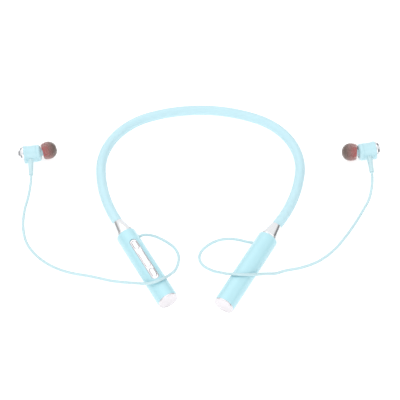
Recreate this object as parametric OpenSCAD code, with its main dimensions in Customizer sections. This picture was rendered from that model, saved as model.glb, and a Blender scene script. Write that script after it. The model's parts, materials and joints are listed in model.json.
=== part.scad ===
// Neckband earphones lying on a flat surface.
// A silicone neckband joins two round sticks. The left stick holds the keys and
// the electronics, the right stick holds the battery. A thin cord leaves the
// inner side of each stick, loops over the stick and ends at a magnetic earbud.
// Units are millimetres. +X is the wearer's left-to-right width as laid down,
// +Y points to the back of the neck and +Z is up. The surface is z = 0.

/* [Neckband] */
// Outside diameter of the silicone neckband
band_diameter = 6.6; // [5:0.1:8]
// Bore of the silicone neckband
band_bore = 3.8; // [3:0.1:5]
// Y of the middle of the band at the back of the neck
band_back_y = 78.4; // [70:0.1:90]
// Bend radius of the band behind the neck
back_bend_radius = 96; // [80:1:120]
// Half the angle of the bend behind the neck
back_bend_angle = 23; // [15:1:30]
// Bend radius of the band over each shoulder
shoulder_bend_radius = 47; // [35:1:60]
// Angle of the bend over each shoulder
shoulder_bend_angle = 72; // [60:1:85]
// Bend radius of the band down each side
side_bend_radius = 95; // [80:1:120]
// Length of the straight end of the band
band_end_length = 5; // [3:0.5:8]
// Diameter of the memory wire
wire_diameter = 1.2; // [0.8:0.1:1.6]
// Diameter of the cable inside the band
cable_diameter = 1.4; // [1:0.1:1.6]

/* [Sticks] */
// Outside diameter of the sticks
stick_diameter = 13; // [11:0.1:16]
// Wall of the stick barrels
barrel_wall = 1.05; // [0.8:0.05:1.4]
// Inward turn of each stick from straight forward, as the band is moulded
stick_splay = 31; // [20:1:40]
// Outward turn of the left stick at its collar, as it lies
left_stick_turn = -1; // [-5:1:10]
// Outward turn of the right stick at its collar, as it lies
right_stick_turn = 3; // [-5:1:10]
// Length of each collar outside the barrel
collar_length = 11; // [8:0.5:15]
// Length of each barrel
barrel_length = 55.2; // [50:0.1:70]
// Step from the barrel's outside down to the collar
collar_step = 0.3; // [0.1:0.05:0.6]
// Wall of the collar's mouth round the band
collar_lip = 0.55; // [0.4:0.05:1]
// Depth of the collar and cap spigots in the barrel
spigot_depth = 3.2; // [2:0.1:5]
// Wall of the spigots
spigot_wall = 1.0; // [0.8:0.1:1.6]
// Thickness of the end caps outside the barrel
cap_thickness = 1.0; // [0.6:0.1:2]
// Step from the barrel's outside down to the end cap
cap_step = 0.1; // [0:0.05:0.5]
// Clearance between the band's rounded end and its cup
cup_clearance = 0.15; // [0.05:0.01:0.3]

/* [Controls] */
// Distance from the collar mouth to the start of the control panel
panel_start = 19.5; // [18:0.5:24]
// Length of the panel beyond each outer key
key_margin = 1.6; // [1.2:0.1:2.5]
// Width of the panel on each side of the keys
panel_border = 0.8; // [0.6:0.1:1.2]
// How far the panel's top lies below the top of the barrel
panel_sink = 0.15; // [0.1:0.05:0.4]
// Thickness of the panel
panel_thickness = 1.05; // [0.8:0.05:1.2]
// Width of the keys
key_width = 3.4; // [3:0.1:3.8]
// Length of the two volume keys
volume_key_length = 7; // [6:0.5:8]
// Length of the main key
main_key_length = 13.5; // [12:0.5:15]
// Gap between neighbouring keys
key_spacing = 1.4; // [1.2:0.1:2]
// Height of the keys above the panel
key_rise = 0.35; // [0.3:0.05:0.6]
// Travel of each key
key_travel = 0.25; // [0.15:0.05:0.3]
// Clearance around each key
key_clearance = 0.08; // [0.05:0.01:0.12]

/* [Electronics] */
// Thickness of the main board
board_thickness = 1.0; // [0.8:0.1:1.2]
// Width of the main board
board_width = 8.8; // [8:0.1:9.4]
// Clearance from the board to the spigot of the end cap
board_end_gap = 1.9; // [1:0.1:4]
// Distance from the middle of the charging socket to the barrel's end
usb_setback = 16.2; // [14:0.1:20]
// Clearance from the battery board to the spigot of the end cap
cell_end_gap = 4.7; // [1:0.1:10]
// Width of the battery cell
cell_width = 8.2; // [7:0.1:8.6]
// Thickness of the battery cell
cell_thickness = 5.6; // [4:0.1:6]

/* [Cords] */
// Diameter of the cords to the earbuds
cord_diameter = 1.8; // [1.2:0.1:2]
// Distance from the collar mouth to the cord exits
cord_exit = 16; // [15:0.5:17.5]
// How far below the stick's side the right cord leaves
right_exit_drop = 25; // [0:1:30]
// Diameter of the cord grommets
grommet_diameter = 3.0; // [2.6:0.1:3.4]
// Height of each grommet above the barrel
grommet_rise = 0.5; // [0.2:0.1:1]

/* [Earbuds] */
// Diameter of the earbud housings
housing_diameter = 11.5; // [10:0.1:12]
// Length of the earbud housings
housing_length = 11.3; // [10:0.1:13]
// Rise of the housing's flared back above its sides
flare_rise = 0.45; // [0.3:0.05:1]
// Wall of the housings
housing_wall = 0.9; // [0.7:0.05:1.2]
// Depth of the back caps
back_cap_depth = 4.7; // [3:0.1:6]
// Diameter of the nozzles
nozzle_diameter = 5.0; // [4:0.1:5.4]
// Rise of the lip round each nozzle
nozzle_lip_rise = 0.1; // [0.05:0.05:0.3]
// Length of the nozzles
nozzle_length = 6; // [5:0.1:7]
// Tilt of the nozzles away from the cord side
nozzle_tilt = 12; // [0:1:18]
// Diameter of the ear tips
tip_diameter = 12; // [10:0.5:13]
// Length of each ear tip's skirt behind its widest part
skirt_length = 3.9; // [3:0.1:5]
// How far the skirt draws in at its open end
skirt_draw = 0.8; // [0.2:0.1:1.2]
// Wall of the ear tip domes
tip_wall = 0.6; // [0.4:0.05:0.8]
// Diameter of the sound hole in the ear tips
tip_hole = 3.8; // [3:0.1:4.4]
// Wall of the ear tip cores
core_wall = 0.65; // [0.5:0.05:0.9]
// Clearance between the ear tip core and the nozzle lip
tip_clearance = 0.05; // [0.01:0.01:0.1]
// Length of the strain reliefs outside the housings
boot_length = 12.2; // [8:0.1:14]
// Diameter of the strain reliefs at the housing
boot_root_diameter = 3.6; // [3:0.1:4]
// Diameter of the strain reliefs at the cord
boot_end_diameter = 3.0; // [2.2:0.1:3]
// Distance from the housing's back to the strain relief
boot_offset = 4.2; // [4:0.1:6]
// Turn of the left earbud as it lies
left_bud_turn = 11; // [8:1:14]
// Turn of the right earbud as it lies
right_bud_turn = -11; // [-14:1:-8]
// Lean of the left strain relief towards the tip
left_boot_lean = -2; // [-5:1:5]
// Lean of the right strain relief towards the tip
right_boot_lean = 7; // [0:1:10]

/* [Hidden] */
$fn = 64;
small = 0.01;
band_radius = band_diameter / 2;
stick_radius = stick_diameter / 2;
stick_bore_radius = stick_radius - barrel_wall;
left_splay = stick_splay - left_stick_turn;
right_splay = stick_splay - right_stick_turn;
stick_height = stick_radius;
band_back_height = band_radius;

// Plan of the right half of the band, measured from the middle of its back.
angle_one = 90 - back_bend_angle;
angle_two = angle_one - shoulder_bend_angle;
angle_three = -stick_splay;
centre_one = [0, -back_bend_radius];
point_one = centre_one + back_bend_radius * [cos(angle_one), sin(angle_one)];
centre_two = point_one - shoulder_bend_radius * [cos(angle_one), sin(angle_one)];
point_two = centre_two + shoulder_bend_radius * [cos(angle_two), sin(angle_two)];
centre_three = point_two - side_bend_radius * [cos(angle_two), sin(angle_two)];
point_three = centre_three + side_bend_radius * [cos(angle_three), sin(angle_three)];
point_end = point_three + band_end_length * [sin(angle_three), -cos(angle_three)];
end_heading = [sin(angle_three), -cos(angle_three), 0];
end_side = [cos(angle_three), sin(angle_three), 0];

// The band leans slightly so that its back rests on the surface.
band_lean = asin((stick_height - band_back_height) / point_end[1]);
mouth_x = point_end[0];
mouth_y = band_back_y + point_end[1] * cos(band_lean);
wire_shift = -(band_bore / 2 - wire_diameter / 2 - 0.1);
cable_shift = band_bore / 2 - cable_diameter / 2 - 0.1;
anchor_length = 3;

// Distances along each stick from the collar mouth.
barrel_start = collar_length;
barrel_end = collar_length + barrel_length;
stick_end = barrel_end + cap_thickness;
cup_radius = band_radius + cup_clearance;
cap_radius = stick_radius - cap_step;
cap_bevel = 0.3;

// Control panel and board heights, from the stick axis.
grommet_radius = grommet_diameter / 2;
panel_length = 2 * volume_key_length + main_key_length + 2 * key_spacing + 2 * key_margin;
panel_width = key_width + 2 * panel_border;
panel_height = stick_radius - panel_sink;
panel_floor = panel_height - panel_thickness;
panel_ledge = 0.3;
saddle_margin = 1.2;
saddle_floor = panel_floor - 0.85;
key_flange = 0.45;
flange_clearance = 0.05;
flange_thickness = 0.5;
flange_top = panel_floor - flange_clearance;
window_width = key_width + 2 * (key_flange + flange_clearance);
key_bevel = 0.15;
up_key_start = panel_start + key_margin;
main_key_start = up_key_start + volume_key_length + key_spacing;
down_key_start = main_key_start + main_key_length + key_spacing;
up_key_middle = up_key_start + volume_key_length / 2;
main_key_middle = main_key_start + main_key_length / 2;
down_key_middle = down_key_start + volume_key_length / 2;
board_start = cord_exit + grommet_radius + 0.6;
board_length = barrel_end - spigot_depth - board_end_gap - board_start;
board_top = 0.6;
board_floor = board_top - board_thickness;
switch_height = 1.5;
switch_stud = 0.3;
post_radius = 1;
post_floor = board_top + switch_height + switch_stud + key_travel + 0.05;
usb_middle = barrel_end - usb_setback;
usb_length = 8.9;
usb_height = 3.2;
usb_depth = 7.3;
usb_wall = 0.3;
usb_clearance = 0.15;
chip_start = 29;
chip_size = 5;
chip_thickness = 0.9;
microphone_position = 36;
microphone_size = 3;
microphone_thickness = 1.1;
light_position = 41;
light_width = 1.6;
light_height = 2.2;
light_start = 2.6;
light_end = stick_bore_radius - 1.05;
pocket_start = chip_start - 1;
pocket_end = usb_middle + usb_length / 2 + 1.55;
pocket_floor = -4.6;
protection_thickness = 0.8;
cell_start = cord_exit + grommet_radius + 3;
cell_length = barrel_end - spigot_depth - cell_end_gap - protection_thickness - cell_start;
cell_edge = 0.8;
grommet_face = stick_radius + grommet_rise;

// Earbuds: the back of each housing is its local origin, the tip is ahead.
housing_radius = housing_diameter / 2;
flare_radius = housing_radius + flare_rise;
flare_length = 0.8;
flare_blend = 1.5;
front_bevel = 1;
front_inset = 1.2;
tip_radius = tip_diameter / 2;
bud_height = max(flare_radius, tip_radius) + 0.05;
left_bud = [-118.6, 33.3];
right_bud = [-115.9, 42.9];
cap_seat_radius = flare_radius - 1.2;
cap_seat_depth = 1.5;
cap_rim_length = 0.8;
cap_flat = 0.3;
magnet_radius = 4.1;
magnet_thickness = 1.5;
magnet_cover = 2.2;
magnet_back = magnet_cover - back_cap_depth;
driver_back = 1.6;
driver_length = 2.2;
driver_wall = 0.6;
driver_magnet_radius = 2.6;
diaphragm_radius = 3;
nozzle_root = housing_length - 0.9;
nozzle_radius = nozzle_diameter / 2;
nozzle_bore_radius = nozzle_radius - 0.7;
nozzle_lip_radius = nozzle_radius + nozzle_lip_rise;
tip_back = 1 + (housing_radius - front_inset) * tan(nozzle_tilt);
tip_centre = tip_back + skirt_length;
neck_back = nozzle_length + 0.1;
core_bore_radius = nozzle_lip_radius + tip_clearance;
core_radius = core_bore_radius + core_wall;
boot_tip = housing_radius + boot_length;
boot_plug = housing_radius - housing_wall + 0.05;
left_boot_turn = left_bud_turn + left_boot_lean;
right_boot_turn = right_bud_turn + right_boot_lean;

// Cord routes, from the stick to the earbud. They lie on the surface at the
// cord's own radius, climb over the stick and rise again to the earbud.
cord_radius = cord_diameter / 2;
lies = cord_radius;
left_start = [-mouth_x + cord_exit * sin(left_splay) + grommet_face * cos(left_splay),
    mouth_y - cord_exit * cos(left_splay) + grommet_face * sin(left_splay), stick_height];
right_reach = grommet_face * cos(right_exit_drop);
right_start = [mouth_x - cord_exit * sin(right_splay) - right_reach * cos(right_splay),
    mouth_y - cord_exit * cos(right_splay) + right_reach * sin(right_splay),
    stick_height - grommet_face * sin(right_exit_drop)];
left_finish = [left_bud[0] + boot_offset * cos(left_bud_turn) + boot_tip * sin(left_boot_turn),
    left_bud[1] + boot_offset * sin(left_bud_turn) - boot_tip * cos(left_boot_turn), bud_height];
right_finish = [-right_bud[0] - boot_offset * cos(right_bud_turn) - boot_tip * sin(right_boot_turn),
    right_bud[1] + boot_offset * sin(right_bud_turn) - boot_tip * cos(right_boot_turn), bud_height];
left_route = [
    [-33.1, -29.8, 6.1], [-28.4, -28.7, 4.0], [-23.2, -29.3, 1.8], [-17.4, -32.4, lies],
    [-12.8, -37.0, lies], [-10.6, -42.6, lies], [-11.0, -48.6, 1.0],
    [-12.4, -53.5, 2.1], [-14.0, -58.0, 5.8], [-15.6, -62.0, 9.3], [-17.3, -65.5, 12.6],
    [-19.5, -68.1, 14.2], [-22.5, -69.7, 14.2], [-26.3, -69.8, 12.5],
    [-31.0, -68.2, 9.3], [-36.1, -65.8, 6.0], [-42.2, -63.2, 2.3], [-52.0, -61.3, lies],
    [-65.0, -58.4, lies], [-78.0, -56.1, lies], [-89.8, -51.7, lies],
    [-100.0, -44.6, lies], [-108.0, -35.0, lies], [-112.2, -22.9, lies],
    [-113.3, -10.0, lies], [-112.3, 1.5, 1.3], [-111.4, 10.2, 4.4]];
right_route = [
    [34.5, -31.3, 2.5], [31.4, -29.9, 1.3], [26.8, -28.4, lies], [20.6, -27.8, lies],
    [14.0, -29.1, lies], [7.6, -33.0, lies], [3.2, -38.4, lies], [2.5, -44.0, lies],
    [5.6, -49.0, lies], [11.2, -52.2, lies], [15.4, -53.9, 2.0], [18.0, -56.8, 5.6],
    [20.5, -59.5, 9.1], [23.1, -61.6, 12.4], [25.9, -62.9, 14.0], [29.7, -63.0, 14.0],
    [34.4, -61.7, 12.3], [39.5, -59.3, 9.1], [44.6, -56.7, 5.9], [50.2, -54.0, 2.3],
    [56.0, -51.0, lies], [66.6, -48.2, lies], [77.3, -43.1, lies], [86.6, -34.9, lies],
    [94.0, -25.0, lies], [100.8, -14.0, lies], [106.6, -3.0, lies], [111.0, 6.4, 0.9],
    [113.1, 16.6, 3.9]];

// ---------- shared shapes ----------

// Draws children in a stick's own frame: +X from the collar mouth to the end
// cap, +Y to the inner side, +Z up. side is -1 for left and 1 for right.
module on_stick(side) {
    splay = side > 0 ? right_splay : left_splay;
    mirror([side > 0 ? 1 : 0, 0, 0])
    translate([-mouth_x, mouth_y, stick_height])
    rotate([0, 0, splay - 90])
    children();
}

// Draws children in an earbud's own frame: +X from the back to the tip, -Y to
// the cord.
module on_bud(side) {
    place = side > 0 ? right_bud : left_bud;
    turn = side > 0 ? right_bud_turn : left_bud_turn;
    mirror([side > 0 ? 1 : 0, 0, 0])
    translate([place[0], place[1], bud_height])
    rotate([0, 0, turn])
    children();
}

// Draws children in a strain relief's own frame, in the earbud's frame: +Z out
// along the cord.
module on_boot(side) {
    translate([boot_offset, 0, 0])
    rotate([0, 0, side > 0 ? right_boot_lean : left_boot_lean])
    rotate([90, 0, 0])
    children();
}

// Draws children in a nozzle's own frame, tilted away from the cord side.
module on_nozzle(side) {
    on_bud(side)
    translate([nozzle_root, 0, 0])
    rotate([0, 0, nozzle_tilt])
    children();
}

// A round bar along +X.
module bar(radius, start, length) {
    translate([start, 0, 0])
    rotate([0, 90, 0])
    cylinder(r = radius, h = length);
}

// A round tube along +X.
module tube(outer, inner, start, length) {
    difference() {
        bar(outer, start, length);
        bar(inner, start - small, length + 2 * small);
    }
}

// A cone along +X.
module taper(first, last, start, length) {
    translate([start, 0, 0])
    rotate([0, 90, 0])
    cylinder(r1 = first, r2 = last, h = length);
}

// A long plate with round ends along +X, standing on height floor_z.
module stadium(start, length, width, floor_z, thickness) {
    translate([start + width / 2, 0, floor_z])
    cylinder(d = width, h = thickness);
    translate([start + length - width / 2, 0, floor_z])
    cylinder(d = width, h = thickness);
    translate([start + width / 2, -width / 2, floor_z])
    cube([length - width, width, thickness]);
}

// Unit vectors: along a path at point i, and across it.
function unit(v) = v / norm(v);
function heading(path, i) = unit(path[min(i + 1, len(path) - 1)] - path[max(i - 1, 0)]);
function sideways(v) = unit(cross(v, [0, 0, 1]));

// The points of one ring of a swept bar.
function ring(middle, v, radius, sides) =
    let (s = sideways(v), u = cross(s, v))
        [for (k = [0 : sides - 1])
            middle + radius * (cos(360 * k / sides) * s + sin(360 * k / sides) * u)];

// The wall faces between the rings of a swept bar, numbered from first_point.
function walls(rings, sides, first_point) = [
    for (i = [0 : rings - 2], k = [0 : sides - 1])
        let (a = first_point + i * sides, n = (k + 1) % sides)
            [a + k, a + n, a + sides + n, a + sides + k]];

// A solid bar along a path, with a fixed heading at each end.
module swept_bar(path, radius, sides, first_heading, last_heading) {
    last = len(path) - 1;
    points = [
        for (i = [0 : last])
            let (v = i == 0 ? first_heading : i == last ? last_heading : heading(path, i))
                each ring(path[i], v, radius, sides)];
    start_face = [[for (k = [sides - 1 : -1 : 0]) k]];
    end_face = [[for (k = [0 : sides - 1]) last * sides + k]];
    polyhedron(points = points, convexity = 10,
        faces = concat(walls(last + 1, sides, 0), start_face, end_face));
}

// A tube along a path, with its own outer radius at each point.
module swept_tube(path, outer_radii, inner_radius, sides) {
    last = len(path) - 1;
    inner = (last + 1) * sides;
    points = [
        for (i = [0 : last]) each ring(path[i], heading(path, i), outer_radii[i], sides),
        for (i = [0 : last]) each ring(path[i], heading(path, i), inner_radius, sides)];
    bore = [for (f = walls(last + 1, sides, inner)) [f[3], f[2], f[1], f[0]]];
    start_face = [
        for (k = [0 : sides - 1])
            let (n = (k + 1) % sides) [n, k, inner + k, inner + n]];
    end_face = [
        for (k = [0 : sides - 1])
            let (n = (k + 1) % sides, a = last * sides)
                [a + k, a + n, inner + a + n, inner + a + k]];
    polyhedron(points = points, convexity = 10,
        faces = concat(walls(last + 1, sides, 0), bore, start_face, end_face));
}

// Points along one bend of the band, without its last point.
function bend(centre, bend_radius, from_angle, to_angle, steps) = [
    for (i = [0 : steps - 1])
        let (a = from_angle + (to_angle - from_angle) * i / steps)
            [centre[0] + bend_radius * cos(a), centre[1] + bend_radius * sin(a), 0]];

// The straight end of the right side, moved outwards by shift.
function band_end(shift, along) =
    [point_three[0], point_three[1], 0] + shift * end_side + along * end_heading;

// The right half of the band's path, from behind the neck to the collar mouth.
function half_band(shift) = concat(
    bend(centre_one, back_bend_radius + shift, 90, angle_one, 5),
    bend(centre_two, shoulder_bend_radius + shift, angle_one, angle_two, 14),
    bend(centre_three, side_bend_radius + shift, angle_two, angle_three, 7),
    [band_end(shift, 0), band_end(shift, band_end_length)]);

// The whole path from the left end to the right end, with extra points added
// past each end.
function band_path(shift, extra) =
    let (half = concat(half_band(shift), [for (e = extra) band_end(shift, band_end_length + e)]))
        concat([for (i = [len(half) - 1 : -1 : 1]) [-half[i][0], half[i][1], 0]], half);

// Draws children in the leaning plane of the band.
module on_band() {
    translate([0, band_back_y, band_back_height])
    rotate([band_lean, 0, 0])
    children();
}

// ---------- neckband ----------

// The silicone tube. Each end is rounded so that it can turn in its collar.
module neckband_sleeve() {
    turns = [15, 30, 45];
    path = band_path(0, [for (t = turns) band_radius * sin(t)]);
    middle = [for (i = [1 : len(path) - 2 * len(turns)]) band_radius];
    end_radii = [for (t = turns) band_radius * cos(t)];
    start_radii = [for (i = [len(turns) - 1 : -1 : 0]) end_radii[i]];
    color([0.66, 0.88, 0.93])
    on_band()
    swept_tube(path, concat(start_radii, middle, end_radii), band_bore / 2, 24);
}

module memory_wire() {
    path = band_path(wire_shift, []);
    color([0.75, 0.76, 0.78])
    on_band()
    swept_bar(path, wire_diameter / 2, 10, heading(path, 0), heading(path, len(path) - 1));
}

module neck_cable() {
    path = band_path(cable_shift, []);
    color([0.12, 0.12, 0.13])
    on_band()
    swept_bar(path, cable_diameter / 2, 10, heading(path, 0), heading(path, len(path) - 1));
}

// A crimp that fills the bore round the wire and the cable at a band end.
module wire_anchor(side) {
    color([0.78, 0.62, 0.32])
    on_band()
    mirror([side < 0 ? 1 : 0, 0, 0])
    translate([point_three[0], point_three[1], 0])
    rotate([0, 0, -90 - stick_splay])
    translate([band_end_length - anchor_length, 0, 0])
    difference() {
        bar(band_bore / 2 - 0.03, 0, anchor_length);
        translate([0, wire_shift, 0])
        bar(wire_diameter / 2 + 0.02, -small, anchor_length + 2 * small);
        translate([0, cable_shift, 0])
        bar(cable_diameter / 2 + 0.02, -small, anchor_length + 2 * small);
    }
}

module left_wire_anchor() {
    wire_anchor(-1);
}

module right_wire_anchor() {
    wire_anchor(1);
}

// ---------- sticks ----------

// A tapered metal collar with a cup for the band end and a spigot.
module collar(side) {
    mouth = cup_radius + collar_lip;
    wide = stick_radius - collar_step;
    inside = stick_bore_radius - spigot_wall;
    spigot_end = collar_length + spigot_depth;
    color([0.86, 0.86, 0.88])
    on_stick(side)
    rotate([0, 90, 0])
    rotate_extrude($fn = 64)
    difference() {
        polygon([[0, 0], [mouth - 0.25, 0], [mouth, 0.4], [wide, collar_length - 0.5],
            [wide, collar_length], [stick_bore_radius, collar_length],
            [stick_bore_radius, spigot_end], [inside, spigot_end],
            [inside, collar_length], [1.6, 5], [1.6, 1], [0, 1]]);
        circle(r = cup_radius, $fn = 64);
    }
}

// The barrel tube with the hole for its cord grommet.
module plain_barrel(exit_drop) {
    difference() {
        tube(stick_radius, stick_bore_radius, barrel_start, barrel_length);
        translate([cord_exit, 0, 0])
        rotate([-exit_drop, 0, 0])
        rotate([-90, 0, 0])
        cylinder(r = grommet_radius, h = stick_radius + 1, $fn = 32);
    }
}

// A flat cap with a spigot that closes the end of a barrel.
module end_cap(side) {
    color([0.93, 0.92, 0.93])
    on_stick(side)
    difference() {
        union() {
            bar(stick_bore_radius, barrel_end - spigot_depth, spigot_depth + small);
            bar(cap_radius, barrel_end, cap_thickness - cap_bevel);
            taper(cap_radius, cap_radius - cap_bevel, stick_end - cap_bevel, cap_bevel);
        }
        bar(stick_bore_radius - spigot_wall, barrel_end - spigot_depth - 1, spigot_depth + 1);
    }
}

// A soft grommet that guides a cord through the barrel wall.
module grommet(side, exit_drop) {
    color([0.66, 0.88, 0.93])
    on_stick(side)
    translate([cord_exit, 0, 0])
    rotate([-exit_drop, 0, 0])
    rotate([-90, 0, 0]) {
        translate([0, 0, stick_bore_radius - 1.2])
        cylinder(r = grommet_radius + 0.3, h = 0.8, $fn = 32);
        translate([0, 0, stick_bore_radius - 0.6])
        cylinder(r = grommet_radius, h = grommet_face - stick_bore_radius + 0.6, $fn = 32);
    }
}

module left_collar() {
    collar(-1);
}

module right_collar() {
    collar(1);
}

module left_barrel() {
    color([0.62, 0.86, 0.92])
    on_stick(-1)
    difference() {
        union() {
            plain_barrel(0);
            intersection() {
                bar(stick_radius - 0.2, panel_start - saddle_margin, panel_length + 2 * saddle_margin);
                translate([panel_start - saddle_margin, -panel_width / 2 - 0.8, saddle_floor])
                cube([panel_length + 2 * saddle_margin, panel_width + 1.6, 3]);
            }
        }
        stadium(panel_start, panel_length, panel_width, panel_floor, 3);
        stadium(panel_start + panel_ledge, panel_length - 2 * panel_ledge, window_width,
            saddle_floor - 1, 4);
        usb_opening();
        translate([microphone_position, 0, -2.0])
        rotate([-90, 0, 0])
        cylinder(r = 0.5, h = stick_radius + 1, $fn = 24);
        translate([light_position, 0, -2.0])
        rotate([-90, 0, 0])
        cylinder(r = 0.6, h = stick_radius + 1, $fn = 24);
    }
}

// The charging opening in the inner side of the left barrel.
module usb_opening() {
    middle_z = board_floor - usb_height / 2;
    reach = (usb_length - usb_height) / 2;
    for (end = [-1, 1]) {
        translate([usb_middle + end * reach, 0, middle_z])
        rotate([-90, 0, 0])
        cylinder(r = usb_height / 2 + usb_clearance, h = stick_radius + 1, $fn = 32);
    }
    translate([usb_middle - reach, 0, middle_z - usb_height / 2 - usb_clearance])
    cube([2 * reach, stick_radius + 1, usb_height + 2 * usb_clearance]);
}

module right_barrel() {
    color([0.62, 0.86, 0.92])
    on_stick(1)
    plain_barrel(right_exit_drop);
}

module left_end_cap() {
    end_cap(-1);
}

module right_end_cap() {
    end_cap(1);
}

module left_cord_grommet() {
    grommet(-1, 0);
}

module right_cord_grommet() {
    grommet(1, right_exit_drop);
}

// ---------- controls ----------

module control_panel() {
    color([0.90, 0.90, 0.92])
    on_stick(-1)
    difference() {
        stadium(panel_start, panel_length, panel_width, panel_floor, panel_thickness);
        key_hole(up_key_start, volume_key_length);
        key_hole(main_key_start, main_key_length);
        key_hole(down_key_start, volume_key_length);
    }
}

// A hole through the panel for one key.
module key_hole(start, length) {
    stadium(start, length, key_width, panel_floor - 1, panel_thickness + 2);
}

// One key: a cap with round ends, a flange under the panel and a post that
// presses its switch.
module key_shape(start, length) {
    cap_start = start + key_clearance;
    cap_length = length - 2 * key_clearance;
    cap_width = key_width - 2 * key_clearance;
    color([0.90, 0.90, 0.92])
    on_stick(-1) {
        stadium(cap_start, cap_length, cap_width, flange_top - small,
            panel_height + key_rise - key_bevel - flange_top + small);
        stadium(cap_start + key_bevel, cap_length - 2 * key_bevel, cap_width - 2 * key_bevel,
            panel_height + key_rise - key_bevel - small, key_bevel + small);
        stadium(start - key_flange, length + 2 * key_flange, key_width + 2 * key_flange,
            flange_top - flange_thickness, flange_thickness);
        translate([start + length / 2, 0, post_floor])
        cylinder(r = post_radius, h = flange_top - post_floor - small, $fn = 32);
    }
}

module volume_up_key() {
    key_shape(up_key_start, volume_key_length);
}

module main_key() {
    key_shape(main_key_start, main_key_length);
}

module volume_down_key() {
    key_shape(down_key_start, volume_key_length);
}

// ---------- left stick electronics ----------

module tact_switches() {
    color([0.2, 0.2, 0.22])
    on_stick(-1)
    for (middle = [up_key_middle, main_key_middle, down_key_middle]) {
        translate([middle - 1.5, -1.5, board_top])
        cube([3, 3, switch_height]);
        translate([middle, 0, board_top + switch_height - small])
        cylinder(r = 0.7, h = switch_stud + small, $fn = 24);
    }
}

module main_board() {
    color([0.08, 0.32, 0.2])
    on_stick(-1)
    translate([board_start, -board_width / 2, board_floor])
    cube([board_length, board_width, board_thickness]);
}

module bluetooth_chip() {
    color([0.1, 0.1, 0.11])
    on_stick(-1)
    translate([chip_start, -chip_size / 2, board_floor - chip_thickness])
    cube([chip_size, chip_size, chip_thickness]);
}

module usb_socket() {
    middle_z = board_floor - usb_height / 2;
    reach = (usb_length - usb_height) / 2;
    color([0.72, 0.72, 0.74])
    on_stick(-1)
    translate([usb_middle, stick_bore_radius - 0.6, middle_z])
    rotate([90, 0, 0]) {
        difference() {
            socket_shell(reach, usb_height / 2, usb_depth);
            translate([0, 0, -small])
            socket_shell(reach, usb_height / 2 - usb_wall, usb_depth - 0.8);
        }
        translate([-3.3, -0.35, 1])
        cube([6.6, 0.7, usb_depth - 1.5]);
    }
}

// A bar with a stadium section, the shape of the charging socket.
module socket_shell(reach, radius, depth) {
    for (end = [-1, 1]) {
        translate([end * reach, 0, 0])
        cylinder(r = radius, h = depth, $fn = 32);
    }
    translate([-reach, -radius, 0])
    cube([2 * reach, 2 * radius, depth]);
}

module microphone() {
    color([0.74, 0.72, 0.66])
    on_stick(-1)
    translate([microphone_position - microphone_size / 2, 1.2, board_floor - microphone_thickness])
    cube([microphone_size, microphone_size, microphone_thickness]);
}

module status_light() {
    color([0.9, 0.92, 0.95])
    on_stick(-1)
    translate([light_position - light_width / 2, light_start, board_floor - light_height])
    cube([light_width, light_end - light_start, light_height]);
}

// A plastic cradle that carries the board inside the barrel.
module board_sled() {
    color([0.3, 0.3, 0.32])
    on_stick(-1)
    difference() {
        intersection() {
            bar(stick_bore_radius - 0.05, board_start, board_length);
            translate([board_start, -stick_radius, -stick_radius])
            cube([board_length, stick_diameter, stick_radius + board_floor]);
        }
        translate([pocket_start, -4.2, pocket_floor])
        cube([pocket_end - pocket_start, stick_diameter, 6]);
        translate([board_start - 1, -2.6, -4.2])
        cube([pocket_start - board_start + 1.6, 5.2, 6]);
    }
}

// ---------- right stick contents ----------

module battery_cell() {
    edge = cell_edge;
    color([0.55, 0.57, 0.6])
    on_stick(1)
    translate([cell_start, 0, -cell_thickness / 2]) {
        translate([0, -cell_width / 2 + edge, 0])
        cube([cell_length, cell_width - 2 * edge, cell_thickness]);
        translate([0, -cell_width / 2, edge])
        cube([cell_length, cell_width, cell_thickness - 2 * edge]);
        for (across = [-1, 1], up = [edge, cell_thickness - edge]) {
            translate([0, across * (cell_width / 2 - edge), up])
            rotate([0, 90, 0])
            cylinder(r = edge, h = cell_length, $fn = 32);
        }
    }
}

// Foam pads above and below the cell.
module battery_foam() {
    color([0.2, 0.2, 0.2])
    on_stick(1)
    for (up = [-1, 1]) {
        intersection() {
            bar(stick_bore_radius - 0.05, cell_start + 4, cell_length - 8);
            translate([cell_start + 4, -3, up > 0 ? cell_thickness / 2 : -cell_thickness / 2 - 4])
            cube([cell_length - 8, 6, 4]);
        }
    }
}

module battery_board() {
    color([0.08, 0.32, 0.2])
    on_stick(1)
    translate([cell_start + cell_length, -4, -2.6])
    cube([protection_thickness, 8, 5.2]);
}

// ---------- cords ----------

// A point on the smooth curve through four route points.
function smooth(a, b, c, d, t) =
    0.5 * (2 * b + (c - a) * t + (2 * a - 5 * b + 4 * c - d) * t * t
    + (3 * b - a - 3 * c + d) * t * t * t);

// A smooth point kept from sinking into the surface.
function resting(v) = [v[0], v[1], max(v[2], cord_radius)];

// The route with a smooth point added between neighbours that are far apart.
function dense(route) = [
    for (i = [0 : len(route) - 2])
        let (a = route[max(i - 1, 0)], b = route[i], c = route[i + 1])
        let (d = route[min(i + 2, len(route) - 1)])
            for (t = norm(c - b) > 7.4 ? [0, 0.5] : [0]) resting(smooth(a, b, c, d, t)),
    route[len(route) - 1]];

module left_cord() {
    leaves = [cos(left_splay), sin(left_splay), 0];
    enters = [-sin(left_boot_turn), cos(left_boot_turn), 0];
    color([0.74, 0.91, 0.95])
    swept_bar(dense(concat([left_start], left_route, [left_finish])), cord_radius, 8, leaves, enters);
}

module right_cord() {
    out = cos(right_exit_drop);
    leaves = [-cos(right_splay) * out, sin(right_splay) * out, -sin(right_exit_drop)];
    enters = [sin(right_boot_turn), cos(right_boot_turn), 0];
    color([0.74, 0.91, 0.95])
    swept_bar(dense(concat([right_start], right_route, [right_finish])), cord_radius, 8, leaves, enters);
}

// ---------- earbuds ----------

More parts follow.
